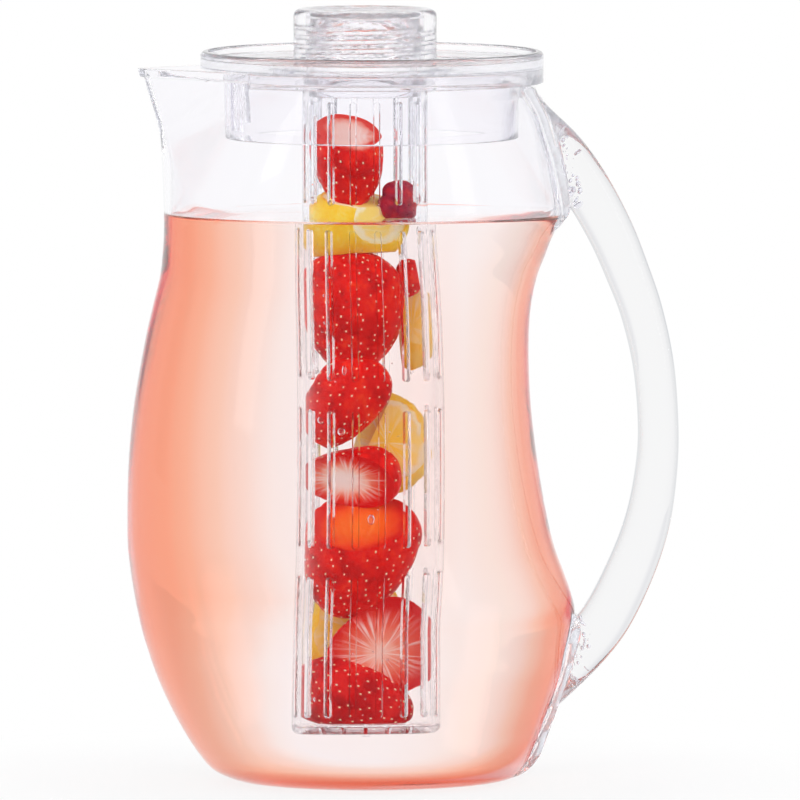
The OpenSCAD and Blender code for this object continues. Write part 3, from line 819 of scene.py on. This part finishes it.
def column_angle(column, r):
    """Angle of a column at a radius, so that slots and drains keep parallel sides."""
    base, off, between = column
    near = max(r, drain_start_r)
    if off is None:
        edge = math.degrees(math.asin((slot_w / 2 + land_line) / near))
        drain = slot_turn / 2 - math.degrees(math.asin(drain_w / 2 / near))
        return base + between * (edge + drain) / 2
    return base + math.degrees(math.asin(off / near))


def tube_ring(r, z, bow=0):
    """A ring of the tube. Bow 1 or -1 bends it round the lower or the upper ends of slots."""
    ring = []
    for column in columns:
        turn = math.radians(column_angle(column, r))
        off = column[1] if column[1] is not None else slot_w
        end = math.sqrt(max((slot_w / 2) ** 2 - off * off, 0))
        ring.append(Vector((r * math.cos(turn) - screw_shift, r * math.sin(turn), z - bow * end)))
    return ring


# Lower and upper end of each tier of slots, as shares of the tube's height
tier_shares = [(0.0255, 0.2305), (0.272, 0.4845), (0.53, 0.765), (0.8058, 0.9665)]
tube_h = tube_top - tube_z
tiers = [(tube_z + low * tube_h, (high - low) * tube_h) for low, high in tier_shares]
tube_floor_z = tube_z + tube_bottom_t
tube_mid_r = 6 * mm
tube_rings = [tube_ring(r, z) for r, z in (
    (0.4 * nub_r, tube_z - nub_h), (nub_r - soft_r, tube_z - nub_h), (nub_r, tube_z - nub_h + soft_r),
    (nub_r, tube_z), (tube_mid_r, tube_z))]
drain_outside = len(tube_rings)
tube_rings += [tube_ring(drain_start_r, tube_z), tube_ring(drain_start_r + drain_l, tube_z)]
tube_rings += [tube_ring(r, z) for z, r in
               arc(tube_z + foot_round, tube_r - foot_round, foot_round, -90, 0, 8)]
past_slot = 0.4 * mm


def tier_rings(r):
    """Rings of one wall from the lowest tier to the top, and the place of each tier's ends."""
    rings, ends = [], []
    for low, tall in tiers:
        rings.append(tube_ring(r, low - past_slot))
        ends.append(len(rings))
        rings += [tube_ring(r, low + slot_w / 2, 1), tube_ring(r, low + tall / 2),
                  tube_ring(r, low + tall - slot_w / 2, -1), tube_ring(r, low + tall + past_slot)]
    return rings, ends


wall_outside = len(tube_rings)
outer_wall, tier_ends = tier_rings(tube_r)
tube_rings += outer_wall
tube_rings += [tube_ring(r, z) for z, r in
               arc(tube_top - soft_r, tube_r - soft_r, soft_r, 0, 90, 2)
               + arc(tube_top - soft_r, tube_in_r + soft_r, soft_r, 90, 180, 2)]
inner_wall, _ = tier_rings(tube_in_r)
tube_rings += reversed(inner_wall)
wall_inside = len(tube_rings) - 1
tube_rings += [tube_ring(r, z) for z, r in
               arc(tube_floor_z + foot_fillet, tube_in_r - foot_fillet, foot_fillet, 0, -90, 5)]
drain_inside = len(tube_rings)
tube_rings[-1] = tube_ring(drain_start_r + drain_l, tube_floor_z)
tube_rings += [tube_ring(r, tube_floor_z) for r in (drain_start_r, tube_mid_r, centre_r)]
tube_holes = []
for i in range(slots_round):
    first = i * columns_round
    tube_holes += [(wall_outside + end, wall_outside + end + 2, first, first + slot_cells, wall_inside - end)
                   for end in tier_ends]
    drain = first + slot_cells + 3
    tube_holes.append((drain_outside, drain_outside + 1, drain, drain + 2, drain_inside))
tube = skin("infuser_tube_moulding", tube_rings, tube_holes)
tube.data.materials.append(tube_acrylic)
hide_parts("infuser_tube")
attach(tube, "infuser")

# The fruit: whole and halved strawberries, chunks of lemon and one dark berry, packed loosely
# in the tube from its floor to above the drink. It is soft, so it flattens where it meets the
# tube's wall. Every strawberry carries its seeds in shallow pits.

fruit_reach = 18.5 * mm
fruit_floor = tube_floor_z + 0.3 * mm
fruit_rows, fruit_columns = 84, 112
golden_turn = 137.508
seed_halves = (0.28 * mm, 0.44 * mm, 0.24 * mm)
seed_stands_out = 0.1 * mm
seed_to_cut = 0.7 * mm
cut_edge_angle = math.radians(50)
scatter = random.Random(11)


def berry_share(u):
    """Share of a strawberry's radius at a share of its height from the tip."""
    return 1.155 * (4 * u * (1 - u)) ** 0.4 * (0.62 + 0.55 * u - 0.17 * u * u)


def lemon_share(u):
    """Share of a lemon's radius at a share of its length, with the small nose at each end."""
    return (4 * u * (1 - u)) ** 0.56 * (1 - 0.1 * math.cos(2 * math.pi * u) ** 4)


def body_point(shape, u, turn, length, radius, depth, lumps):
    wide = 1 + lumps * math.sin(2 * turn + 9 * u) + 0.6 * lumps * math.sin(5 * turn + 4 * u)
    r = radius * shape(u) * wide
    return Vector((r * math.cos(turn), depth * r * math.sin(turn), (u - 0.5) * length))


def skin_out(point):
    """The way out of a fruit's skin at a point."""
    return Vector((point.x, point.y, 0.4 * point.z)).normalized()


def fruit_piece(name, materials, shape, centre, length, radius, depth, tilt, lean, cuts,
                seeds=0, pit=0.0, pit_r=0.0, lumps=0.03):
    """A piece of fruit. Tilt turns its top towards the handle, lean turns it from the eye. A cut
    (normal, distance) takes off what lies past the distance from its centre."""
    turned = Matrix.Rotation(math.radians(tilt), 4, "Y") @ Matrix.Rotation(math.radians(lean), 4, "X")
    placed = Matrix.Translation(Vector(centre) * mm - Vector((screw_shift, 0, 0))) @ turned
    planes = [((turned.inverted() @ Vector(normal)).normalized(), far * mm) for normal, far in cuts]
    size = (length * mm, radius * mm, depth, lumps)
    pits, tree = [], KDTree(max(seeds, 1))
    for i in range(seeds):
        u = (i + 0.8 + scatter.uniform(-0.4, 0.4)) / (seeds + 0.5)
        turn = math.radians(golden_turn * i) + scatter.uniform(-0.12, 0.12)
        pits.append((u, turn, body_point(shape, u, turn, *size)))
        tree.insert(pits[-1][2], i)
    tree.balance()
    work = bmesh.new()
    rows = []
    for i in range(1, fruit_rows):
        u = (1 - math.cos(math.pi * i / fruit_rows)) / 2
        row = []
        for k in range(fruit_columns):
            point = body_point(shape, u, 2 * math.pi * k / fruit_columns, *size)
            if seeds:
                away = tree.find(point)[2]
                point -= skin_out(point) * (pit * math.exp(-(away / pit_r) ** 2))
            row.append(work.verts.new(point))
        rows.append(row)
    tip, top = (work.verts.new((0, 0, s * size[0] / 2)) for s in (-1, 1))
    for k in range(fruit_columns):
        n = (k + 1) % fruit_columns
        for low, high in zip(rows, rows[1:]):
            work.faces.new((low[k], low[n], high[n], high[k]))
        work.faces.new((tip, rows[0][n], rows[0][k]))
        work.faces.new((top, rows[-1][k], rows[-1][n]))
    for normal, far in planes:
        sliced = bmesh.ops.bisect_plane(work, geom=work.verts[:] + work.edges[:] + work.faces[:],
                                        plane_co=normal * far, plane_no=normal, clear_outer=True)
        rim = [g for g in sliced["geom_cut"] if isinstance(g, bmesh.types.BMEdge)]
        bmesh.ops.edgeloop_fill(work, edges=rim, mat_nr=1)
    for u, turn, place in pits:
        if all(place.dot(normal) < far - seed_to_cut for normal, far in planes):
            out = skin_out(place)
            down = (body_point(shape, max(u - 0.01, 0), turn, *size) - place).normalized()
            side = out.cross(down).normalized()
            frame_of = Matrix((side, side.cross(out), out)).transposed().to_4x4()
            seat = Matrix.Translation(place - out * (pit - seed_stands_out)) @ frame_of
            seed = bmesh.ops.create_icosphere(
                work, subdivisions=1, radius=scatter.uniform(0.75, 1.15),
                matrix=seat @ Matrix.Diagonal((*seed_halves, 1)))
            for vert in seed["verts"]:
                for face in vert.link_faces:
                    face.material_index = 2
    home = placed.inverted()
    for vert in work.verts:
        at = placed @ vert.co
        across = Vector((at.x + screw_shift, at.y, 0))
        if across.length > fruit_reach or at.z < fruit_floor:
            across *= min(1, fruit_reach / across.length)
            vert.co = home @ Vector((across.x - screw_shift, across.y, max(at.z, fruit_floor)))
    bmesh.ops.recalc_face_normals(work, faces=work.faces)
    mesh = bpy.data.meshes.new(name)
    work.to_mesh(mesh)
    work.free()
    mesh.shade_smooth()
    mesh.set_sharp_from_angle(angle=cut_edge_angle)
    for material in materials:
        mesh.materials.append(material)
    made = put_in(name, mesh)
    made.matrix_world = placed
    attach(made, "infuser")
    return made


# In water, fruit mirrors much less than it does in air
wet_ior = 1.1


# Wet fruit skin: glossy, in drifting deeper and brighter patches, finely dimpled. The seeds and
# the peel have the same make-up at other scales
def fruit_skin(name, shades, patch=7 * mm, grain=1.1 * mm, grain_depth=0.11 * mm):
    material = bpy.data.materials.new(name)
    tree = emptied(material)
    place = add(tree, "TexCoord")
    drift = add(tree, "TexNoise", {
        "Vector": place.outputs["Object"], "Scale": 1 / patch, "Detail": 3.0})
    fine = add(tree, "TexNoise", {
        "Vector": place.outputs["Object"], "Scale": 1 / grain, "Detail": 2.0})
    patchy = add(tree, "Math", {0: drift, 1: 0.6}, operation="MULTIPLY")
    grainy = add(tree, "Math", {0: fine, 1: 0.4, 2: patchy}, operation="MULTIPLY_ADD")
    shade = add(tree, "ValToRGB", {"Fac": grainy}, shades)
    dimpled = add(tree, "Bump", {"Height": fine, "Distance": grain_depth})
    wet = add(tree, "BsdfPrincipled", {
        "Base Color": shade, "Roughness": 0.3, "IOR": wet_ior, "Coat Weight": 0.12,
        "Coat Roughness": 0.08, "Coat IOR": 1.2, "Normal": dimpled})
    add(tree, "OutputMaterial", {"Surface": wet})
    return material


# Cut fruit: juicy and softly glossy, paler to the core, with fibres running out to the skin
def cut_flesh(name, across, along, shades, fibre, fibres, wanted):
    material = bpy.data.materials.new(name)
    tree = emptied(material)
    place = add(tree, "TexCoord")
    scaled = add(tree, "VectorMath", {
        0: place.outputs["Object"], 1: (1 / across / mm, 1 / across / mm, 1 / along / mm)},
        operation="MULTIPLY")
    away = add(tree, "VectorMath", {0: scaled}, operation="LENGTH")
    wander = add(tree, "TexNoise", {
        "Vector": place.outputs["Object"], "Scale": 1 / (3 * mm), "Detail": 3.0})
    uneven = add(tree, "Math", {0: wander, 1: 0.22, 2: -0.11}, operation="MULTIPLY_ADD")
    depth = add(tree, "Math", {0: away.outputs["Value"], 1: uneven}, operation="ADD")
    shade = add(tree, "ValToRGB", {"Fac": depth}, shades)
    parts = add(tree, "SeparateXYZ", {0: scaled})
    turn = add(tree, "Math", {0: parts.outputs["Z"], 1: parts.outputs["X"]}, operation="ARCTAN2")
    fan = add(tree, "Math", {0: turn, 1: fibres}, operation="MULTIPLY")
    spoke = add(tree, "CombineXYZ", {"X": fan, "Y": away.outputs["Value"]})
    strand = add(tree, "TexNoise", {"Vector": spoke, "Scale": 1.0, "Detail": 2.0})
    bold = add(tree, "MapRange", {
        "Value": strand, "From Min": 0.5, "From Max": 0.66, "To Min": 0.0, "To Max": wanted})
    inside = add(tree, "MapRange", {
        "Value": away.outputs["Value"], "From Min": 0.92, "From Max": 0.6, "To Min": 0.0,
        "To Max": 1.0})
    shown = add(tree, "Math", {0: bold, 1: inside}, operation="MULTIPLY")
    streaked = add(tree, "Mix", {"Factor": shown, 6: shade, 7: srgb(fibre)}, data_type="RGBA")
    relief = add(tree, "Bump", {"Height": strand, "Distance": 0.1 * mm})
    juicy = add(tree, "BsdfPrincipled", {
        "Base Color": streaked.outputs[2], "Roughness": 0.38, "IOR": wet_ior, "Normal": relief})
    add(tree, "OutputMaterial", {"Surface": juicy})
    return material


red_skin = fruit_skin("wet_strawberry_skin", [
    (0.36, "#c0040a"), (0.46, "#e20c0e"), (0.56, "#f41a12"), (0.68, "#fc4a22")])
dark_red_skin = fruit_skin("wet_ripe_strawberry_skin", [
    (0.36, "#b0060f"), (0.5, "#d80f16"), (0.64, "#f02824")])
seed_skin = fruit_skin("dry_strawberry_seed", [(0.3, "#ffe7a4"), (0.6, "#fff8dc")],
                       patch=0.8 * mm, grain=0.3 * mm, grain_depth=0.02 * mm)
lemon_peel = fruit_skin("waxed_lemon_peel", [(0.3, "#ffc424"), (0.5, "#ffd63e"), (0.7, "#ffe87c")],
                        patch=6 * mm, grain=1 * mm, grain_depth=0.12 * mm)
purple_skin = fruit_skin("wet_dark_berry_skin", [
    (0.3, "#740e36"), (0.46, "#a41638"), (0.6, "#c61c2c"), (0.72, "#d82a30")], patch=4 * mm)
# Shades of flesh from core to skin, the colour of its fibres and how strongly they show
ripe_flesh = ([(0, "#fbd2c0"), (0.2, "#f8a184"), (0.38, "#f46a44"), (0.6, "#ee3a20"), (0.8, "#e41c12"),
               (0.93, "#d60c10")], "#fff4ee", 0.5)
pale_flesh = ([(0, "#fffaf6"), (0.3, "#fff0e8"), (0.46, "#fccab8"), (0.6, "#f47c62"), (0.76, "#ea3020"),
               (0.93, "#dc1014")], "#fff8f4", 0.65)
pink_flesh = ([(0, "#fde8e0"), (0.16, "#f9bcaa"), (0.34, "#f28c76"), (0.55, "#ec6450"), (0.76, "#e4382c"),
               (0.93, "#d81016")], "#fff6f2", 0.6)
white_shoulder = ([(0, "#feece7"), (0.5, "#fcddd5"), (0.74, "#f8bfb3"), (0.87, "#f18d7d"),
                   (0.95, "#e4342a")], "#fff8f5", 0.5)
orange_flesh = ([(0, "#ffa850"), (0.4, "#ff8c34"), (0.7, "#fb6a22"), (0.85, "#f4441a"), (0.95, "#e01a12")],
                "#ffb466", 0.3)
lemon_shades = [(0, "#fff7d8"), (0.14, "#ffe98e"), (0.5, "#ffd44a"), (0.8, "#ffe07a"),
                (0.87, "#fff4d0"), (0.93, "#fff0b8"), (0.97, "#ffc41e")]

# How closely the fibres fan out round a cut
berry_fibres, lemon_segments = 9, 4

# Strawberries: name, skin, flesh, centre from the tube's axis, length, radius, depth, tilt, lean,
# cuts and count of seeds. They go from the top of the tube to its floor.
for name, skin_of, flesh_of, centre, length, radius, depth, tilt, lean, cuts, seeds in (
    ("strawberry_top", red_skin, white_shoulder, (-5.6, -4, 208.4), 33, 12, 0.95, -6, 4,
     [((0.24, -0.5, 0.83), 9.5)], 130),
    ("strawberry_big", red_skin, ripe_flesh, (-4.6, -3, 157), 41, 15, 0.95, 3, 5, [], 270),
    ("strawberry_leaning", red_skin, ripe_flesh, (-8, -5, 126.5), 35, 10.8, 0.9, 32, 6,
     [((-0.6, 0, -0.8), 14.5)], 170),
    ("strawberry_chip", red_skin, ripe_flesh, (12.2, 2, 168.5), 13, 4.2, 0.8, 10, 0,
     [((1, 0, 0.1), 2.6)], 30),
    ("strawberry_open_half", red_skin, pale_flesh, (-6.2, -4.5, 101.5), 30, 10.4, 0.9, 84, 0,
     [((-0.3, -0.86, -0.42), 1.6)], 140),
    ("strawberry_middle", red_skin, orange_flesh, (-3.2, -3, 76.5), 41, 16.2, 0.92, 13, 4,
     [((-0.04, -0.62, 0.78), 11.5)], 280),
    ("strawberry_cut_half", red_skin, pink_flesh, (3.8, -5.5, 46), 33, 14.6, 0.62, 62, 0,
     [((0, -1, 0), 1)], 200),
    ("strawberry_bottom", dark_red_skin, ripe_flesh, (-3.5, -4, 32.2), 35, 10.8, 0.95, -72, 0, [], 200),
):
    shades, fibre, wanted = flesh_of
    flesh = cut_flesh("cut_" + name, radius, length / 2, shades, fibre, berry_fibres, wanted)
    fruit_piece(name, (skin_of, flesh, seed_skin), berry_share, centre, length, radius, depth, tilt,
                lean, cuts, seeds, pit=0.34 * mm, pit_r=0.75 * mm)

# Lemon chunks: name, centre, length, radius, depth, tilt, lean and cuts
for name, centre, length, radius, depth, tilt, lean, cuts in (
    ("lemon_upper", (-4.4, 0, 186), 35, 14, 0.95, 86, 0,
     [((0.12, -0.25, 0.96), 9.5), ((0.1, -0.1, -0.99), 10), ((0.5, -0.84, 0.2), 11)]),
    ("lemon_right_high", (12.2, 6, 152), 30, 8, 0.7, 4, 0,
     [((-1, -0.2, 0), 3.2), ((0.1, -0.96, 0.2), 4)]),
    ("lemon_right_low", (4.6, 5.5, 113), 35, 12.2, 0.8, -10, 0,
     [((-0.86, -0.3, 0.4), 6.5), ((0.2, -0.96, 0.1), 6)]),
    ("lemon_low", (-5, 9, 53), 36, 13.4, 0.6, 20, 0, [((0.1, -0.98, 0.1), 4)]),
):
    pulp = cut_flesh("cut_" + name, radius, length / 2, lemon_shades, "#fff6d4", lemon_segments, 0.6)
    fruit_piece(name, (lemon_peel, pulp), lemon_share, centre, length, radius, depth, tilt, lean, cuts)
fruit_piece("dark_berry", (purple_skin, purple_skin, purple_skin), lemon_share, (11, -3, 194.6), 15, 7, 1,
            20, 0, [], seeds=60, pit=0.5 * mm, pit_r=0.9 * mm, lumps=0.05)

# Small bubbles that the fruit has given off, resting on the tube's inner wall towards the eye
tube_air = trapped_air("air_in_fruit_water", 0.75)
tube_bubbles = 110
tube_bubble_turns = (200, 340)
tube_bubble_heights = (26, 184)
tube_bubble_least = 0.13 * mm
tube_bubble_more = 0.3 * mm
tube_bubble_gap = 0.08 * mm
places = []
for i in range(tube_bubbles):
    turn = math.radians(chance.uniform(*tube_bubble_turns))
    size = tube_bubble_least + tube_bubble_more * chance.random() ** 3
    r = tube_in_r - size - tube_bubble_gap
    high = chance.uniform(*tube_bubble_heights) * mm
    places.append((Vector((r * math.cos(turn) - screw_shift, r * math.sin(turn), high)), (size,) * 3))
# The large ones that the photograph shows: across, height, size and how much taller than wide
for across, z, size, tall in ((-12, 163, 0.75, 1), (-12, 154, 0.7, 1), (-7, 138.5, 0.7, 2.4),
                              (-13.6, 121.5, 1.1, 1.3), (-8, 118, 1.2, 1.2), (0.6, 89, 1.1, 1.6),
                              (-13.6, 32, 1.2, 0.9)):
    r = tube_in_r - size * mm - tube_bubble_gap
    places.append((Vector((across * mm - screw_shift, -math.sqrt(r * r - (across * mm) ** 2), z * mm)),
                   (size * mm, size * mm, tall * size * mm)))
fruit_bubbles = bubbles("fruit_bubbles", places, tube_air)
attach(fruit_bubbles, "infuser")

# The drink: a clear coral fruit water that fills the jug to the shoulder. It is drawn a hair
# into the wall, so that no film of air shows between them, and climbs the wall at its edge.

drink_level = 189.6 * mm
wall_overlap = 0.15 * mm
climb = 1.1 * mm
climb_reach = 1.0 * mm
drink_ior = 1.2
drink_rows = 130
level_z = (drink_level - floor_t) / (1 - floor_t / jug_h)
drink_levels = heel + spread(wall_foot, level_z, drink_rows) + [level_z + climb]
drink_rings = inside_rings(drink_levels, wall_overlap)
# Its surface, from the wall in: a climbing edge, then level to the middle
for off in (0.0, 0.25, 0.6, 1.1, 1.8, 2.8, 4.2):
    z = drink_level + climb * math.exp(-off * mm / climb_reach)
    ring = section(level_z, jug_angles, wall_overlap - jug_wall - (off + 0.1) * mm)
    drink_rings.append([Vector((p.x, p.y, z)) for p in ring])
middle = sum(drink_rings[-1], Vector()) / len(jug_angles)
drink_rings += [[mix(middle, Vector((p.x, p.y, drink_level)), s) for p in drink_rings[-1]]
                for s in (0.8, 0.5, 0.25, 0.05)]
drink = skin("drink", drink_rings)
fruit_water = bpy.data.materials.new("coral_fruit_water")
tree = emptied(fruit_water)
# Through the wall the eye meets the drink at 42 degrees at most, where its colour is painted deepest; face
# on, painted light from behind turns it pale.
# Flatter light stays in the wall, so it takes no colour, and nor does light that leaves the drink
seen = add(tree, "LayerWeight", {"Blend": 0.5})
# Towards the spout painted light turns it paler low on the belly, above the base
spot = add(tree, "TexCoord")
parts = add(tree, "SeparateXYZ", {0: spot.outputs["Object"]})
spout_painted_light_low = add(tree, "MapRange", {
    "Value": parts.outputs["Z"], "From Min": 66 * mm, "From Max": 14 * mm, "To Min": 0.0,
    "To Max": 0.108})
spout_deep = add(tree, "Math", {0: seen.outputs["Facing"], 1: spout_painted_light_low}, operation="SUBTRACT")
spout_tint = add(tree, "ValToRGB", {"Fac": spout_deep}, [
    (0, "#fffcfb"), (0.02, "#fff1e9"), (0.042, "#ffd2be"), (0.078, "#ffb18f"), (0.127, "#ff8a60"),
    (0.17, "#ff7349"), (0.26, "#fd5f34"), (0.33, "#ffffff")])
# Towards the handle its colour comes on slowly; a painted highlight pales its edge more the higher it is,
# and low down it is painted a little deeper
paler = add(tree, "MapRange", {
    "Value": parts.outputs["Z"], "From Min": 60 * mm, "From Max": 180 * mm, "To Min": -0.022,
    "To Max": 0.024})
handle_deep = add(tree, "Math", {0: seen.outputs["Facing"], 1: paler}, operation="SUBTRACT")
handle_tint = add(tree, "ValToRGB", {"Fac": handle_deep}, [
    (0, "#fffcfb"), (0.05, "#fff8f3"), (0.085, "#fff0e7"), (0.108, "#ffe9dc"), (0.135, "#ffe3d1"),
    (0.155, "#ffdac8"), (0.178, "#ffcab4"), (0.205, "#ffaa88"), (0.235, "#fd7f58"),
    (0.28, "#fa5e34"), (0.38, "#ffffff")])
handle_side = add(tree, "MapRange", {
    "Value": parts.outputs["X"], "From Min": 2 * mm, "From Max": 30 * mm})
drink_tint = add(tree, "Mix", {
    "Factor": handle_side, 6: spout_tint, 7: handle_tint}, data_type="RGBA")
# Near the heel painted shade makes it its deepest, darkest red
painted_heel_shade = add(tree, "ValToRGB", {"Fac": seen.outputs["Facing"]}, [
    (0, "#ff8c64"), (0.1, "#f64e28"), (0.22, "#d8240a"), (0.33, "#dc2a10"), (0.42, "#f8b49c"),
    (1, "#f09070")])
painted_heel_shade_mask = add(tree, "MapRange", {
    "Value": parts.outputs["Z"], "From Min": 8.4 * mm, "From Max": 5.4 * mm})
tinted = add(tree, "Mix", {
    "Factor": painted_heel_shade_mask, 6: drink_tint.outputs[2], 7: painted_heel_shade}, data_type="RGBA")
side = add(tree, "NewGeometry")
entering = add(tree, "Mix", {
    "Factor": side.outputs["Backfacing"], 6: tinted.outputs[2], 7: srgb("#ffffff")}, data_type="RGBA")
drink_shell = add(tree, "BsdfPrincipled", {
    "Base Color": entering.outputs[2], "Roughness": 0.0, "IOR": drink_ior,
    "Transmission Weight": 1.0, "Specular Tint": srgb(drowned_mirror)})
drink_depth = add(tree, "VolumeAbsorption", {"Color": srgb("#fbb58f"), "Density": 1.6})
path = add(tree, "LightPath")
drink_passes = add(tree, "BsdfTransparent", {"Color": srgb("#fffaf8")})
drink_lit = add(tree, "MixShader", {
    0: path.outputs["Is Shadow Ray"], 1: drink_shell, 2: drink_passes})
add(tree, "OutputMaterial", {"Surface": drink_lit, "Volume": drink_depth})
drink.data.materials.append(fruit_water)
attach(drink, "jug")

# The studio: a white floor that keeps the jug's soft shadow, a white room with greyer corners
# and ceiling, two soft lamps, and a long lens from the front, a little above level.

floor_mesh = bpy.data.meshes.new("studio_floor")
floor_half = 12.0
floor_mesh.from_pydata([(-floor_half, -floor_half, 0), (floor_half, -floor_half, 0),
                        (floor_half, floor_half, 0), (-floor_half, floor_half, 0)], [], [(0, 1, 2, 3)])
floor = put_in("studio_floor", floor_mesh)
# Matt white board. To the eye, and through or in the acrylic, it glows plain white, but for a
# fifth of it near the jug, which stays board and so keeps the soft shadow
white_board = bpy.data.materials.new("white_studio_board")
tree = emptied(white_board)
path = add(tree, "LightPath")
seen_camera = add(tree, "Math", {
    0: path.outputs["Is Camera Ray"], 1: path.outputs["Is Transmission Ray"]}, operation="MAXIMUM")
seen_any = add(tree, "Math", {0: seen_camera, 1: path.outputs["Is Glossy Ray"]}, operation="MAXIMUM")
spot = add(tree, "TexCoord")
away = add(tree, "VectorMath", {0: spot.outputs["Object"]}, operation="LENGTH")
clean = add(tree, "MapRange", {
    "Value": away.outputs["Value"], "From Min": 70 * mm, "From Max": 210 * mm, "To Min": 0.8,
    "To Max": 1.0}, interpolation_type="SMOOTHSTEP")
glow_share = add(tree, "Math", {0: seen_any, 1: clean}, operation="MULTIPLY")
board = add(tree, "BsdfDiffuse", {"Color": srgb("#fbfbfb")})
glow = add(tree, "Emission", {"Color": srgb("#ffffff"), "Strength": 1.0})
both = add(tree, "MixShader", {0: glow_share, 1: board, 2: glow})
add(tree, "OutputMaterial", {"Surface": both})
floor_mesh.materials.append(white_board)

world = bpy.data.worlds.new("white_room")
bpy.context.scene.world = world
tree = emptied(world)
room_corners = 8.0
way = add(tree, "TexCoord")
parts = add(tree, "SeparateXYZ", {0: way.outputs["Generated"]})
azimuth = add(tree, "Math", {0: parts.outputs["Y"], 1: parts.outputs["X"]}, operation="ARCTAN2")
folds = add(tree, "Math", {0: azimuth, 1: room_corners}, operation="MULTIPLY")
corner = add(tree, "Math", {0: folds}, operation="COSINE")
corner_share = add(tree, "MapRange", {"Value": corner, "From Min": -1.0})
walls = add(tree, "ValToRGB", {"Fac": corner_share}, [
    (0, "#d3d5db"), (0.25, "#f3f3f6"), (0.42, "#ffffff")])
ceiling = add(tree, "ValToRGB", {"Fac": parts.outputs["Z"]}, [
    (0.45, "#ffffff"), (0.62, "#dddfe4"), (1, "#ebecee")])
room = add(tree, "Mix", {
    "Factor": 1.0, 6: walls, 7: ceiling}, data_type="RGBA", blend_type="MULTIPLY")
# The eye sees the room as plain white, and so, for the most part, does what has crossed acrylic
path = add(tree, "LightPath")
through = add(tree, "Math", {0: path.outputs["Is Transmission Ray"], 1: 0.7}, operation="MULTIPLY")
clear_view = add(tree, "Math", {0: path.outputs["Is Camera Ray"], 1: through}, operation="MAXIMUM")
shown = add(tree, "Mix", {
    "Factor": clear_view, 6: room.outputs[2], 7: (1, 1, 1, 1)}, data_type="RGBA")
sky = add(tree, "Background", {"Color": shown.outputs[2], "Strength": 1.0})
add(tree, "OutputWorld", {"Surface": sky})

# Two tall soft lamps in front, one to each side, aimed at the middle of the jug
softbox_w, softbox_h = 0.35, 1.1
softbox_side, softbox_before = 1.1, 0.9
for name, side, height, power in (("left_softbox", -1, 0.9, 4.0), ("right_softbox", 1, 0.7, 3.2)):
    lamp_data = bpy.data.lights.new(name, "AREA")
    lamp_data.shape = "RECTANGLE"
    lamp_data.size, lamp_data.size_y = softbox_w, softbox_h
    lamp_data.energy = power
    lamp = put_in(name, lamp_data)
    lamp.location = (side * softbox_side, -softbox_before, height)
    aim = Vector((0, 0, jug_h / 2)) - lamp.location
    lamp.rotation_euler = aim.to_track_quat("-Z", "Y").to_euler()

# The photograph is 267.2 mm wide at the jug and is taken from 4.1 degrees above level
shown_width = 267.2 * mm
camera_tilt = math.radians(4.1)
view_middle = Vector((9.35 * mm, 0, 128 * mm))
camera_data = bpy.data.cameras.new("camera")
camera_data.lens = 1000
camera_away = shown_width * camera_data.lens / camera_data.sensor_width
camera = put_in("camera", camera_data)
back = Vector((0, -math.cos(camera_tilt), math.sin(camera_tilt)))
camera.location = view_middle + back * camera_away
camera.rotation_euler = (-back).to_track_quat("-Z", "Y").to_euler()
shot = bpy.context.scene
shot.camera = camera
shot.view_settings.view_transform = "Standard"
# Light crosses many faces of nested clear pieces
shot.cycles.max_bounces = shot.cycles.transmission_bounces = shot.cycles.glossy_bounces = 64
shot.cycles.transparent_max_bounces = 32
